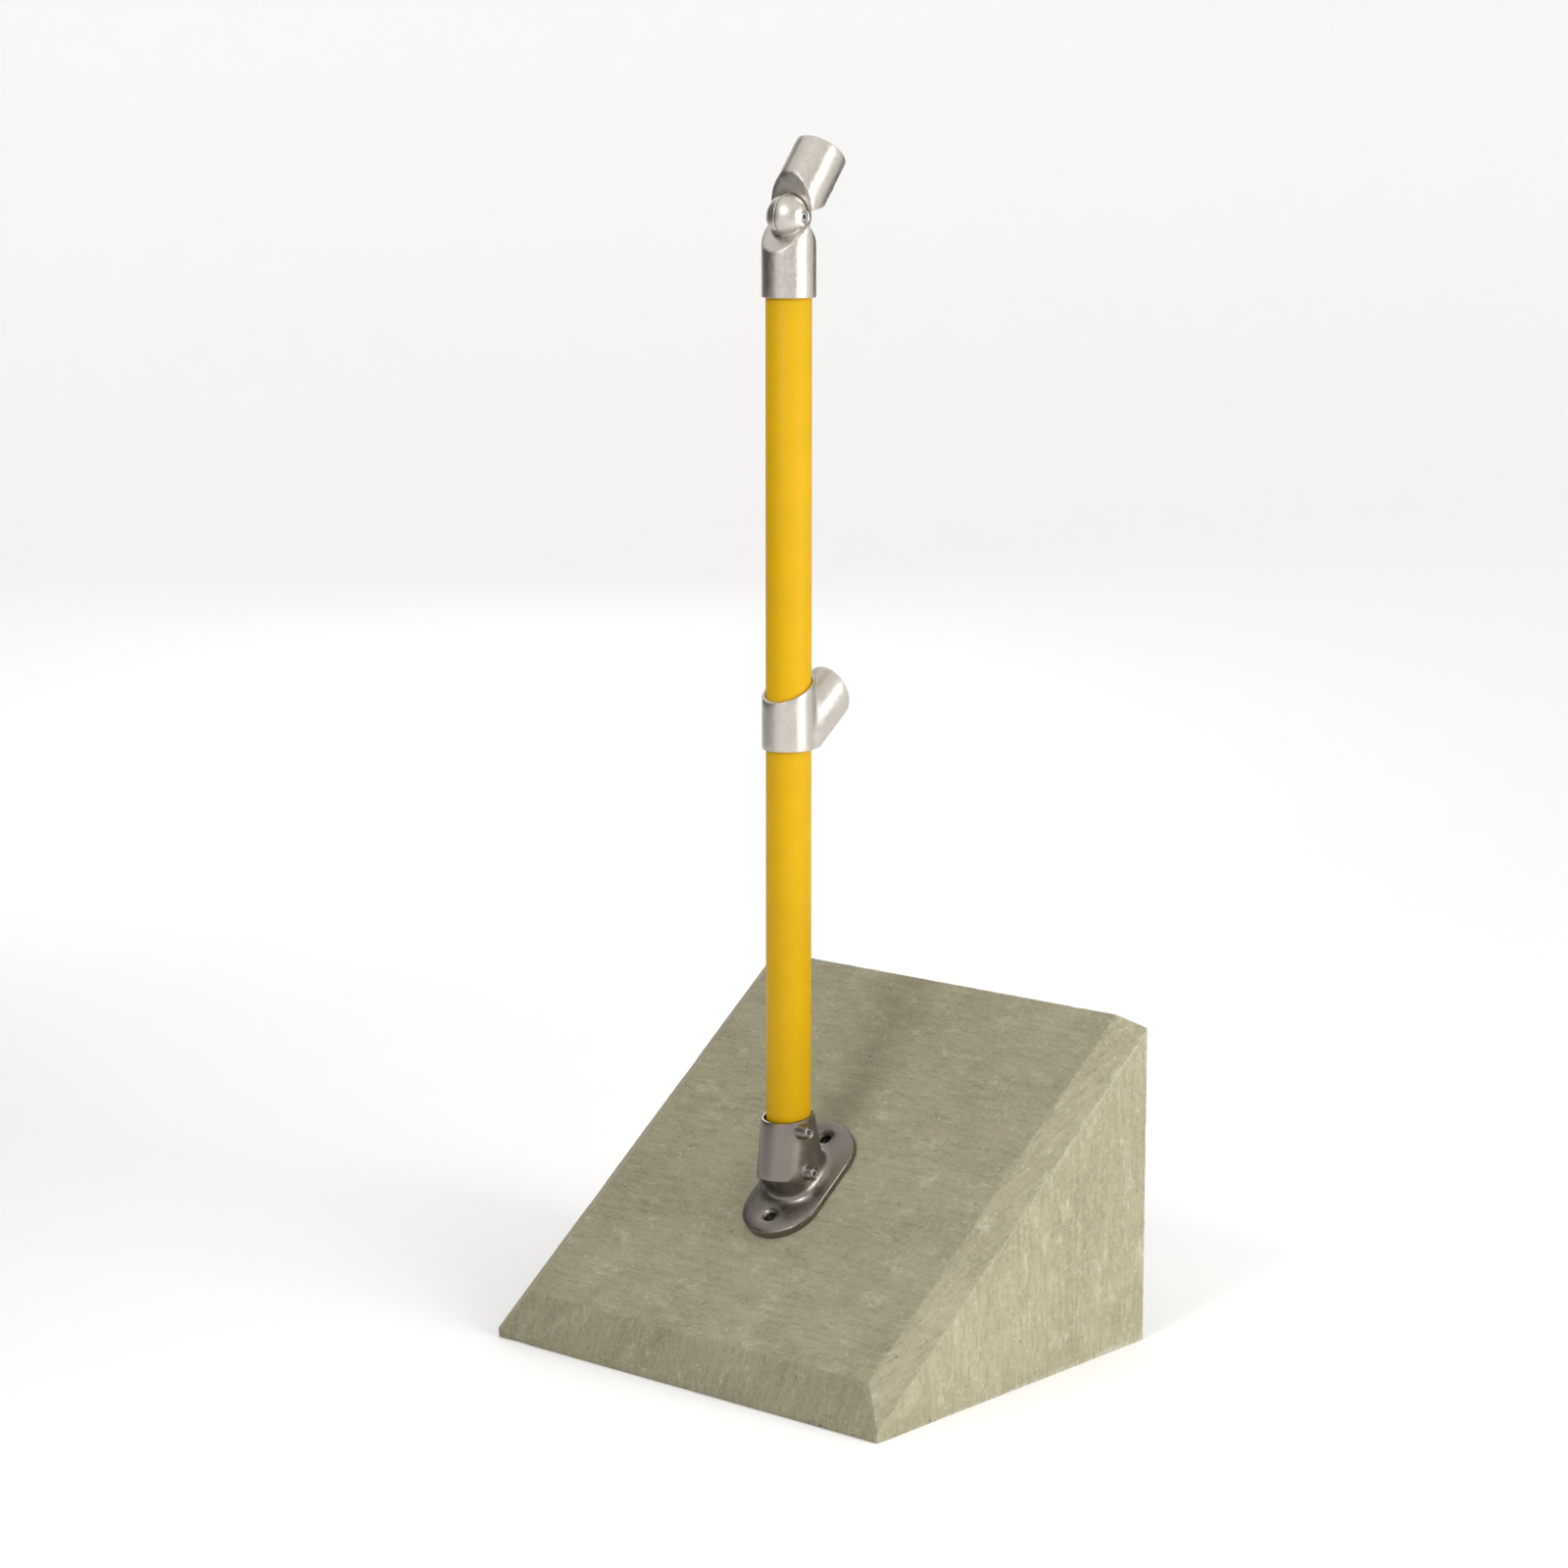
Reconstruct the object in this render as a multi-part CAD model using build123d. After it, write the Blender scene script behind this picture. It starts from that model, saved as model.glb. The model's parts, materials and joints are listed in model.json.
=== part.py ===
from build123d import *
from math import asin, cos, degrees, radians, sin, tan
import os

# Precast concrete wedge block with a tubular guardrail post clamped to its slope.
# Millimetres. Origin: centre of the block's footprint, on the ground.
# +X runs across the block, +Y towards its high back, +Z up.

# ---- concrete block ----
BLOCK_WIDTH = 538.0
BLOCK_DEPTH = 453.0
TOE_HEIGHT = 37.3            # sharp front edge of the slope, before the bevel
SLOPE_DEG = 36.7
BEVEL_SIDE = 29.0            # bevel width across the slope at the two sides
BEVEL_FRONT = 26.0           # along the slope at the toe
BEVEL_BACK = 21.5            # along the slope at the crest
BEVEL_DROP = 26.5            # height the bevel takes off the vertical faces

# ---- reinforcement ----
STIRRUP_R = 4.0
BAR_R = 5.0
STIRRUP_X = (-200.0, -67.0, 67.0, 200.0)
COVER = 40.0                 # concrete over the stirrups
STIRRUP_BEND_R = 16.0
BAR_END_COVER = 45.0

# ---- post ----
POST_Y = -53.0
TUBE_R = 24.15               # 48.3 mm tube
TUBE_WALL = 3.2
TUBE_BOTTOM_Z = 197.3
SOCKET_BORE_R = 24.5         # bores that slip over the tube
SOCKET_R = 28.4              # outside of the slip-on sockets

# ---- base flange, on the slope ----
PLATE_R = 47.0               # rounded ends of the plate
PLATE_LENGTH = 159.0
PLATE_CROWN = 11.4           # plate thickness on its centre line
PLATE_CROWN_R = 300.0
PLATE_SHIFT = 25.6           # plate centre, up the slope from the post axis
BOLT_SPACING = 113.0
BOLT_HOLE_R = 7.0
PLATE_EDGE_R = 2.5           # rounding of the plate's upper edge
HUB_R = 28.6                 # half width of the hub between its flat sides
HUB_FILLET_R = 4.0           # where the hub meets the plate
RIM_EDGE_R = 1.5
RIM_Z = 262.0
RIM_Y = -1.6
RIM_TILT = 8.0
SKIRT_Z = 197.0
SKIRT_FRONT = -9.1           # front and back arc centres at the skirt, from the post axis
SKIRT_BACK = 17.2
FOOT_Z = 165.0
FOOT_R = 26.0
FOOT_Y = 20.3
FLOOR_Z = 192.0              # seat under the tube
SEAT_FRONT = -3.2            # front arc centre of the seat
MOUTH_FRONT = -2.0           # arc centres of the opening at the rim
MOUTH_BACK = 1.0
CORE_R = 20.0                # hollow under the seat
CORE_Y = 18.5

# ---- set screws ----
BASE_SCREW_R = 5.0           # M10
BASE_BOSS_R = 7.8
BASE_BOSS_X = 39.5
BASE_SCREW_PLACES = {"upper": (-11.5, 250.5), "lower": (-2.0, 203.5)}
BASE_SCREW_TIPS = {"upper": 23.0, "lower": 24.4}
SCREW_R = 4.0                # M8, in the slip-on fittings
SCREW_FIT = 0.05
BOSS_R = 8.0
BOSS_TOP_R = 33.5
SIDE_BOSS_R = 7.0
SIDE_BOSS_TOP = 31.6

# ---- mid-rail fitting ----
MID_BOTTOM_Z = 658.8
MID_TOP_Z = 724.7            # sloping rim, height on the post axis
MID_RIM_DEG = 26.9
RAIL_DEG = 37.4
RAIL_AXIS_Z = 663.4          # rail axis where it crosses the post axis
HEEL_Y = 17.0
MOUTH_Y = 65.0
MOUTH_DEG = 19.2
RAIL_BORE_R = 24.65
RAIL_STOP_RUN = 55.1         # shoulder that the rail's end meets, along the rail axis
RAIL_STOP_R = 23.9
MID_EDGE_R = 1.5
CREASE_R = 3.0               # where the collar meets the hood
MID_SCREW_Z = 688.0
RAIL_SCREW_RUN = 64.0        # along the rail axis

# ---- knuckle on top of the post ----
BALL_Z = 1214.6
BALL_R = 23.4
BALL_GAP = 0.2               # half of the gap between the two half balls
POCKET_R = 23.8
ROOF_DROP = 7.3              # ridge of the roof, below the ball centre
KNUCKLE_LENGTH = 82.8
KNUCKLE_BORE_DEPTH = 45.0
KNUCKLE_SCREW_DROP = 58.0
KNUCKLE_TIPS = {"lower": 24.3, "upper": 24.6}
FACET_EDGE_R = 2.0
LEAN_DEG = 37.7              # upper socket, from the vertical
BOLT_R = 4.0                 # M8 pivot bolt
BOLT_HEAD_R = 5.5
BOLT_HEAD_X = (13.8, 21.6)
NUT_FLATS = 13.0
NUT_X = (-20.2, -13.7)
WASHER_X = (-13.6, -12.0)
WASHER_R = 7.6
NUT_POCKET_R = 7.9

# ---- drop-in anchors under the plate's holes ----
ANCHOR_R = 8.0
ANCHOR_LENGTH = 50.0
ANCHOR_THREAD_R = 5.1
ANCHOR_THREAD_LENGTH = 22.0
ANCHOR_CAVITY_R = 5.6
CONE_LENGTH = 14.0

SLOPE = radians(SLOPE_DEG)
ALONG = Vector(0, cos(SLOPE), sin(SLOPE))
NORMAL = Vector(0, -sin(SLOPE), cos(SLOPE))
TOE = Vector(0, -BLOCK_DEPTH / 2, TOE_HEIGHT)
SLOPE_LENGTH = BLOCK_DEPTH / cos(SLOPE)
POST_RUN = (POST_Y + BLOCK_DEPTH / 2) / cos(SLOPE)
PLATE_CENTRE = TOE + ALONG * (POST_RUN + PLATE_SHIFT)
TUBE_TOP_Z = BALL_Z - KNUCKLE_LENGTH + KNUCKLE_BORE_DEPTH - 1.0


def slope_plane(centre):
    """A plane on the slope, local x across the block and local y up the slope."""
    return Plane(origin=centre, x_dir=(1, 0, 0), z_dir=NORMAL)


def slot_face(plane, low, high, radius):
    """A rounded-end outline that runs along the plane's local x from low to high."""
    outline = SlotCenterToCenter(high - low, 2 * radius)
    return plane * Pos((low + high) / 2, 0) * outline


def level_plane(z):
    """A horizontal plane on the post axis with its local x towards the back."""
    return Plane(origin=(0, POST_Y, z), x_dir=(0, 1, 0), z_dir=(0, 0, 1))


def rod(start, direction, radius, length):
    """A round rod from a start point along a direction."""
    return extrude(Plane(origin=start, z_dir=direction) * Circle(radius), length)


# ---------------------------------------------------------------- concrete block
def anchor_places():
    """The two points on the slope that the plate's holes are centred on."""
    half = BOLT_SPACING / 2
    return {"lower": PLATE_CENTRE - ALONG * half, "upper": PLATE_CENTRE + ALONG * half}


def block_body():
    """The wedge with a mitred bevel round its sloping face."""
    half = BLOCK_DEPTH / 2
    crest = TOE + ALONG * SLOPE_LENGTH
    front_in = TOE + ALONG * BEVEL_FRONT
    back_in = TOE + ALONG * (SLOPE_LENGTH - BEVEL_BACK)
    corners = [
        (-half, 0),
        (half, 0),
        (half, crest.Z - BEVEL_DROP),
        (back_in.Y, back_in.Z),
        (front_in.Y, front_in.Z),
        (-half, TOE_HEIGHT - BEVEL_DROP),
    ]
    side_view = Plane(origin=(-BLOCK_WIDTH / 2, 0, 0), x_dir=(0, 1, 0), z_dir=(1, 0, 0))
    body = extrude(side_view * make_face(Polyline(*corners, close=True)), BLOCK_WIDTH)
    drop = BEVEL_DROP * cos(SLOPE)
    for side in (-1, 1):
        edge_point = Vector(side * BLOCK_WIDTH / 2, TOE.Y, TOE_HEIGHT - BEVEL_DROP)
        outward = Vector(side * drop, 0, 0) + NORMAL * BEVEL_SIDE
        body = split(body, bisect_by=Plane(origin=edge_point, z_dir=outward), keep=Keep.BOTTOM)
    return body


def concrete_block(steel):
    """The block with room for its reinforcement and two drilled anchor holes."""
    body = block_body()
    for place in anchor_places().values():
        body -= rod(place + NORMAL * 5, -NORMAL, ANCHOR_R, ANCHOR_LENGTH + 5)
    for piece in steel:
        body -= piece
    return body


def stirrup_corners():
    """Centre line of one stirrup in the side view, as (y, z) pairs."""
    inset = COVER + STIRRUP_R
    half = BLOCK_DEPTH / 2
    rise = tan(SLOPE)
    lift = inset / cos(SLOPE)
    front_y = (inset + lift + 2 * STIRRUP_BEND_R - TOE_HEIGHT) / rise - half
    back_y = half - inset
    back_z = TOE_HEIGHT + (back_y + half) * rise - lift
    return [(front_y, inset), (back_y, inset), (back_y, back_z), (front_y, inset + 2 * STIRRUP_BEND_R)]


def stirrups():
    """Four closed stirrups, each bent to the shape of the wedge."""
    loops = []
    for x in STIRRUP_X:
        points = [(x, y, z) for y, z in stirrup_corners()]
        path = FilletPolyline(*points, radius=STIRRUP_BEND_R, close=True)
        section = Plane(origin=path @ 0, z_dir=path % 0) * Circle(STIRRUP_R)
        loops.append(sweep(section, path=path))
    return loops


def bar_places():
    """The long bars lie inside the stirrup bends, with one more on the bottom leg."""
    front, low_back, high_back, _ = stirrup_corners()
    touch = STIRRUP_R + BAR_R
    bend = touch + 4.0
    return [
        (low_back[0] - bend, low_back[1] + bend),
        (high_back[0] - bend, high_back[1] - bend * tan(SLOPE) - bend / cos(SLOPE)),
        (front[0] + bend, front[1] + bend),
        ((front[0] + low_back[0]) / 2, front[1] + touch + 0.1),
    ]


def long_bars():
    """Straight bars across the block."""
    length = BLOCK_WIDTH - 2 * BAR_END_COVER
    return [rod((-length / 2, y, z), (1, 0, 0), BAR_R, length) for y, z in bar_places()]


# ---------------------------------------------------------------- anchors
def anchor_sleeve(place):
    """Internally threaded sleeve, slit at its inner end."""
    inward = -NORMAL
    sleeve = rod(place, inward, ANCHOR_R, ANCHOR_LENGTH)
    sleeve -= rod(place, inward, ANCHOR_THREAD_R, ANCHOR_THREAD_LENGTH)
    cavity_start = place + inward * ANCHOR_THREAD_LENGTH
    sleeve -= rod(cavity_start, inward, ANCHOR_CAVITY_R, ANCHOR_LENGTH - ANCHOR_THREAD_LENGTH)
    slit_plane = Plane(origin=place + inward * (ANCHOR_LENGTH - 8), x_dir=(1, 0, 0), z_dir=inward)
    for angle in (0, 90):
        sleeve -= slit_plane * Rot(0, 0, angle) * Box(3 * ANCHOR_R, 1.4, 16)
    return sleeve


def anchor_cone(place):
    """Tapered plug that has been driven to the sleeve's inner end."""
    seat = place - NORMAL * (ANCHOR_LENGTH - CONE_LENGTH - 1)
    plane = Plane(origin=seat, x_dir=(1, 0, 0), z_dir=-NORMAL)
    return plane * Pos(0, 0, CONE_LENGTH / 2) * Cone(ANCHOR_CAVITY_R - 1.2, ANCHOR_CAVITY_R, CONE_LENGTH)


# ---------------------------------------------------------------- base flange
def height_over_slope(point):
    """Distance of a point from the block's slope."""
    return (point - PLATE_CENTRE).dot(NORMAL)


def crowned_plate():
    """Rounded plate, thickest on its centre line."""
    half = PLATE_LENGTH / 2 - PLATE_R
    plane = slope_plane(PLATE_CENTRE)
    outline = plane * Rot(0, 0, 90) * SlotCenterToCenter(2 * half, 2 * PLATE_R)
    plate = extrude(outline, PLATE_CROWN + 1)
    barrel = Rot(90, 0, 0) * Cylinder(PLATE_CROWN_R, 2 * PLATE_LENGTH)
    plate &= plane * Pos(0, 0, PLATE_CROWN - PLATE_CROWN_R) * barrel
    upper = plate.edges().filter_by(lambda edge: height_over_slope(edge.center()) > 6)
    return fillet(upper, PLATE_EDGE_R)


def rim_plane(z, y):
    """The hub's rim leans downhill, square to the middle of the post's range."""
    tilt = radians(RIM_TILT)
    return Plane(origin=(0, POST_Y + y, z), x_dir=(0, cos(tilt), sin(tilt)), z_dir=(0, -sin(tilt), cos(tilt)))


def hub():
    """Tapering hub above the skirt and the undercut neck below it."""
    rim = slot_face(rim_plane(RIM_Z, RIM_Y), -0.3, 0.3, HUB_R - 0.1)
    skirt = slot_face(level_plane(SKIRT_Z), SKIRT_FRONT, SKIRT_BACK, HUB_R)
    foot = slot_face(level_plane(FOOT_Z), FOOT_Y - 0.3, FOOT_Y + 0.3, FOOT_R)
    upper = loft([rim, skirt])
    rim_edges = upper.edges().filter_by(lambda edge: edge.center().Z > RIM_Z - 6)
    return fillet(rim_edges, RIM_EDGE_R) + loft([skirt, foot])


def hub_cavity():
    """Room for the post to rock, the pocket under its end and the hollow below."""
    wide = loft([
        slot_face(rim_plane(RIM_Z + 1, 0), MOUTH_FRONT, MOUTH_BACK, SOCKET_BORE_R),
        slot_face(level_plane(SKIRT_Z), SKIRT_FRONT, SKIRT_BACK, SOCKET_BORE_R),
    ])
    mouth = extrude(slot_face(rim_plane(RIM_Z + 1, 0), MOUTH_FRONT, MOUTH_BACK, SOCKET_BORE_R), 12)
    pocket = extrude(slot_face(level_plane(SKIRT_Z), SEAT_FRONT, SKIRT_BACK, SOCKET_BORE_R), FLOOR_Z - SKIRT_Z)
    core = rod((0, POST_Y + CORE_Y, FLOOR_Z), (0, 0, -1), CORE_R, 60)
    return wide + mouth + pocket + core


def base_flange():
    """Variable-angle flange: crowned plate, hub and two screw bosses."""
    below = slope_plane(PLATE_CENTRE) * Pos(0, 0, -60) * Box(300, 400, 120)
    plate = crowned_plate() - below
    neck = hub() - below
    body = plate + neck
    joint = new_edges(plate, neck, combined=body)
    body = fillet(joint.filter_by(lambda edge: height_over_slope(edge.center()) > 3), HUB_FILLET_R)
    for y, z in BASE_SCREW_PLACES.values():
        body += rod((HUB_R - 6, POST_Y + y, z), (1, 0, 0), BASE_BOSS_R, BASE_BOSS_X - HUB_R + 6)
    body -= hub_cavity()
    for y, z in BASE_SCREW_PLACES.values():
        body -= rod((15, POST_Y + y, z), (1, 0, 0), BASE_SCREW_R, 30)
        sink = Cone(BASE_SCREW_R, BASE_SCREW_R + 1.6, 1.6)
        body -= Pos(BASE_BOSS_X - 0.8, POST_Y + y, z) * Rot(0, 90, 0) * sink
    for place in anchor_places().values():
        body -= rod(place - NORMAL, NORMAL, BOLT_HOLE_R, 30)
    return body


# ---------------------------------------------------------------- screws
def set_screw(tip, outward, radius, length, hex_flats):
    """Socket set screw with a short cone point at its tip."""
    plane = Plane(origin=tip, z_dir=outward)
    point = plane * Pos(0, 0, radius * 0.25) * Cone(radius * 0.5, radius, radius * 0.5)
    body = plane * Pos(0, 0, radius * 0.5 + (length - radius * 0.5) / 2) * Cylinder(radius, length - radius * 0.5)
    socket_depth = length * 0.4
    socket = plane * Pos(0, 0, length) * extrude(RegularPolygon(hex_flats / 2, 6, major_radius=False), -socket_depth)
    return point + body - socket


def base_screw(which):
    """One of the two screws that clamp the post in the base."""
    y, z = BASE_SCREW_PLACES[which]
    tip_x = BASE_SCREW_TIPS[which]
    return set_screw((tip_x, POST_Y + y, z), (1, 0, 0), BASE_SCREW_R - SCREW_FIT, BASE_BOSS_X - 0.8 - tip_x, 5.0)


# ---------------------------------------------------------------- post
def post_tube():
    """Straight tube, square cut at both ends."""
    length = TUBE_TOP_Z - TUBE_BOTTOM_Z
    start = (0, POST_Y, TUBE_BOTTOM_Z)
    return rod(start, (0, 0, 1), TUBE_R, length) - rod(start, (0, 0, 1), TUBE_R - TUBE_WALL, length)


# ---------------------------------------------------------------- mid-rail fitting
RAIL = Vector(0, cos(radians(RAIL_DEG)), sin(radians(RAIL_DEG)))
RAIL_START = Vector(0, POST_Y, RAIL_AXIS_Z)
MOUTH_CENTRE = RAIL_START + RAIL * (MOUTH_Y / cos(radians(RAIL_DEG)))
RAIL_SCREW_POINT = RAIL_START + RAIL * RAIL_SCREW_RUN


def mid_collar():
    """Collar round the post with a rim that rises towards the rail."""
    blank = rod((0, POST_Y, MID_BOTTOM_Z), (0, 0, 1), SOCKET_R, 100)
    tilt = radians(MID_RIM_DEG)
    rim = Plane(origin=(0, POST_Y, MID_TOP_Z), z_dir=(0, -sin(tilt), cos(tilt)))
    collar = split(blank, bisect_by=rim, keep=Keep.BOTTOM)
    return fillet(collar.edges().sort_by(Axis.Z)[-1], MID_EDGE_R)


def rail_hood():
    """Inclined blind socket with a rounded heel, cut off at its mouth."""
    heel = RAIL_START + RAIL * (HEEL_Y / cos(radians(RAIL_DEG)))
    barrel = rod(heel, RAIL, SOCKET_R, 90) + Pos(heel.X, heel.Y, heel.Z) * Sphere(SOCKET_R)
    tilt = radians(MOUTH_DEG)
    mouth = Plane(origin=MOUTH_CENTRE, z_dir=(0, cos(tilt), sin(tilt)))
    barrel = split(barrel, bisect_by=mouth, keep=Keep.BOTTOM)
    barrel = fillet(barrel.edges().sort_by_distance(MOUTH_CENTRE)[0], MID_EDGE_R)
    return split(barrel, bisect_by=Plane(origin=(0, 0, MID_BOTTOM_Z), z_dir=(0, 0, 1)), keep=Keep.TOP)


def midrail_fitting():
    """Collar and hood in one casting, each with a set screw boss on the blind side."""
    collar = mid_collar()
    hood = rail_hood()
    body = collar + hood
    crease = new_edges(collar, hood, combined=body).filter_by(lambda edge: edge.center().Z > MID_SCREW_Z)
    body = fillet(crease, CREASE_R)
    post_boss = (0, POST_Y, MID_SCREW_Z)
    for point in (post_boss, RAIL_SCREW_POINT):
        body += rod(point, (-1, 0, 0), SIDE_BOSS_R, SIDE_BOSS_TOP)
    bore = rod(RAIL_START, RAIL, RAIL_STOP_R, 160)
    bore += rod(RAIL_START + RAIL * RAIL_STOP_RUN, RAIL, RAIL_BORE_R, 120)
    body -= bore - rod((0, POST_Y, MID_BOTTOM_Z), (0, 0, 1), SOCKET_R, 100)
    body -= rod((0, POST_Y, MID_BOTTOM_Z - 20), (0, 0, 1), SOCKET_BORE_R, 140)
    for point in (post_boss, RAIL_SCREW_POINT):
        body -= rod(point, (-1, 0, 0), SCREW_R, 50)
    return body


def side_screw(point, tip_r):
    """Set screw on the blind side of the mid-rail fitting."""
    tip = Vector(*point) + Vector(-tip_r, 0, 0)
    return set_screw(tip, (-1, 0, 0), SCREW_R - SCREW_FIT, SIDE_BOSS_TOP - tip_r - 0.4, 4.0)


# ---------------------------------------------------------------- knuckle
def knuckle_half():
    """One half, hanging down from the ball centre, with its half ball on +X."""
    length = KNUCKLE_LENGTH
    body = rod((0, 0, -length), (0, 0, 1), SOCKET_R, length)
    for side in (-1, 1):
        facet = Plane(origin=(0, 0, -ROOF_DROP), z_dir=(0, side, 1))
        body = split(body, bisect_by=facet, keep=Keep.BOTTOM)
    facet_edges = body.edges().filter_by(GeomType.ELLIPSE)
    body = fillet(facet_edges, FACET_EDGE_R)
    pocket_cap = degrees(asin(BALL_GAP / POCKET_R))
    ball_cap = degrees(asin(BALL_GAP / BALL_R))
    body -= Rot(0, 90, 0) * Sphere(POCKET_R, arc_size1=-90, arc_size2=pocket_cap, align=Align.NONE)
    body += Rot(0, 90, 0) * Sphere(BALL_R, arc_size1=ball_cap, arc_size2=90, align=Align.NONE)
    boss_point = (0, 0, -KNUCKLE_SCREW_DROP)
    body += rod(boss_point, (0, 1, 0), BOSS_R, BOSS_TOP_R)
    body -= rod((0, 0, -length), (0, 0, 1), SOCKET_BORE_R, KNUCKLE_BORE_DEPTH)
    body -= rod(boss_point, (0, 1, 0), SCREW_R, 50)
    return body - rod((-60, 0, 0), (1, 0, 0), BOLT_R + SCREW_FIT, 120)


def lower_knuckle():
    """The half on the post, with the recess for the bolt head."""
    recess = rod((BOLT_HEAD_X[0], 0, 0), (1, 0, 0), BOLT_HEAD_R + 0.15, 30)
    flare = Pos(BOLT_HEAD_X[1] + 0.6, 0, 0) * Rot(0, 90, 0) * Cone(BOLT_HEAD_R, BOLT_HEAD_R + 1.6, 1.6)
    return Pos(0, POST_Y, BALL_Z) * (knuckle_half() - recess - flare)


UPPER_PLACE = Pos(0, POST_Y, BALL_Z) * Rot(-LEAN_DEG, 0, 0) * Rot(0, 180, 0)


def upper_knuckle():
    """The half that takes the top rail, turned over and leaning towards the back."""
    pocket = rod((-WASHER_X[1], 0, 0), (1, 0, 0), NUT_POCKET_R, 30)
    return UPPER_PLACE * (knuckle_half() - pocket)


def knuckle_screw(which):
    """Set screw of a knuckle half, in the half's own place."""
    tip_r = KNUCKLE_TIPS[which]
    length = BOSS_TOP_R - tip_r - 0.5
    return set_screw((0, tip_r, -KNUCKLE_SCREW_DROP), (0, 1, 0), SCREW_R - SCREW_FIT, length, 4.0)


def pivot_bolt():
    """Cap screw through both half balls."""
    head_start, head_end = BOLT_HEAD_X
    shank_end = NUT_X[0] - 1.0
    bolt = rod((shank_end, 0, 0), (1, 0, 0), BOLT_R, head_start - shank_end)
    bolt += rod((head_start, 0, 0), (1, 0, 0), BOLT_HEAD_R, head_end - head_start)
    face = Plane(origin=(head_end, 0, 0), z_dir=(1, 0, 0))
    bolt -= face * extrude(RegularPolygon(2.5, 6, major_radius=False), -5)
    return Pos(0, POST_Y, BALL_Z) * bolt


def pivot_nut():
    """Hexagon nut in the blind half ball."""
    face = Plane(origin=(NUT_X[0], 0, 0), z_dir=(1, 0, 0))
    nut = face * extrude(RegularPolygon(NUT_FLATS / 2, 6, major_radius=False), NUT_X[1] - NUT_X[0])
    return Pos(0, POST_Y, BALL_Z) * (nut - rod((NUT_X[0] - 1, 0, 0), (1, 0, 0), BOLT_R, 12))


def pivot_washer():
    """Plain washer under the nut."""
    thickness = WASHER_X[1] - WASHER_X[0]
    ring = rod((WASHER_X[0], 0, 0), (1, 0, 0), WASHER_R, thickness)
    return Pos(0, POST_Y, BALL_Z) * (ring - rod((WASHER_X[0] - 1, 0, 0), (1, 0, 0), BOLT_R + 0.2, 6))


# ---------------------------------------------------------------- write the parts
def build():
    """Every sub-part by the name of its node."""
    loops = stirrups()
    bars = long_bars()
    parts = {
        "concrete_block": concrete_block(loops + bars),
        "stirrups": Compound(children=loops),
        "long_bars": Compound(children=bars),
        "base_flange": base_flange(),
        "post_tube": post_tube(),
        "midrail_fitting": midrail_fitting(),
        "midrail_post_screw": side_screw((0, POST_Y, MID_SCREW_Z), TUBE_R + 0.1),
        "midrail_rail_screw": side_screw(RAIL_SCREW_POINT, RAIL_BORE_R + 0.4),
        "lower_knuckle": lower_knuckle(),
        "upper_knuckle": upper_knuckle(),
        "lower_knuckle_screw": Pos(0, POST_Y, BALL_Z) * knuckle_screw("lower"),
        "upper_knuckle_screw": UPPER_PLACE * knuckle_screw("upper"),
        "pivot_bolt": pivot_bolt(),
        "pivot_nut": pivot_nut(),
        "pivot_washer": pivot_washer(),
    }
    for which, place in anchor_places().items():
        parts[f"anchor_sleeve_{which}"] = anchor_sleeve(place)
        parts[f"anchor_cone_{which}"] = anchor_cone(place)
        parts[f"base_screw_{which}"] = base_screw(which)
    return parts


def main():
    os.makedirs("parts", exist_ok=True)
    for name, shape in build().items():
        export_step(shape, f"parts/{name}.step")


if __name__ == "__main__":
    main()
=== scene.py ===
import json
from contextlib import contextmanager
from math import cos, pi, radians, sin, tan

import bmesh
import bpy
import numpy as np
from bpy.props import FloatProperty, FloatVectorProperty, IntProperty, PointerProperty
from mathutils import Matrix, Vector, noise

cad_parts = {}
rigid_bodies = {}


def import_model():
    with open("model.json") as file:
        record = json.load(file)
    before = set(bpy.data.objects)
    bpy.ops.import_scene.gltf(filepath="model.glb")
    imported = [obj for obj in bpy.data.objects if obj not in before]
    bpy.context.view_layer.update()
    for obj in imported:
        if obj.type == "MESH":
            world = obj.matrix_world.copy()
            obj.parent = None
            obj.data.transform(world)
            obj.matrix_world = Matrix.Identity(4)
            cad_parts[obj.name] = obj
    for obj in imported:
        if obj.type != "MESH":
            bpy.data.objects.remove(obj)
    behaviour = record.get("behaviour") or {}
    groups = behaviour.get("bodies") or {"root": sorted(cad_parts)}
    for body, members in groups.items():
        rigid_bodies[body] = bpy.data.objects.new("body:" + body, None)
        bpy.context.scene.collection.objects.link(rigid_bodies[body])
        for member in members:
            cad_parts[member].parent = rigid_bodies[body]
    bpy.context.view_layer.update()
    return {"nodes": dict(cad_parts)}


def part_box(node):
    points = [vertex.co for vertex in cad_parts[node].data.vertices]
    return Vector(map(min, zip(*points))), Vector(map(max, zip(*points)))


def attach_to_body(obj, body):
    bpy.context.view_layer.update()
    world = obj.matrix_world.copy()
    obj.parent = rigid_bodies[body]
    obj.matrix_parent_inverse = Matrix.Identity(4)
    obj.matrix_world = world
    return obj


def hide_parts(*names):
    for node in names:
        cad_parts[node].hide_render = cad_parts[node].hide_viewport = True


bl_info = {
    "name": "Wedge Block With Guardrail Post",
    "version": (1, 0, 0),
    "blender": (4, 5, 0),
    "location": "View3D > Sidebar > Wedge Block",
    "description": "Dresses a concrete wedge block, its tube post and its cast rail fittings",
    "category": "Object",
}

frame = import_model()

# Places shared with the solid model, in metres.
POST_Y = -0.053
BALL_Z = 1.2146
SLOPE = radians(36.7)
TOE_HEIGHT = 0.0373
ALONG = np.array((0.0, cos(SLOPE), sin(SLOPE)))
NORMAL = np.array((0.0, -sin(SLOPE), cos(SLOPE)))
PLATE_SHIFT = 0.0256
BOLT_SPACING = 0.113
LEAN = radians(37.7)
ANCHOR_RADIUS = 0.008
ANCHOR_DEPTH = 0.05

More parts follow.
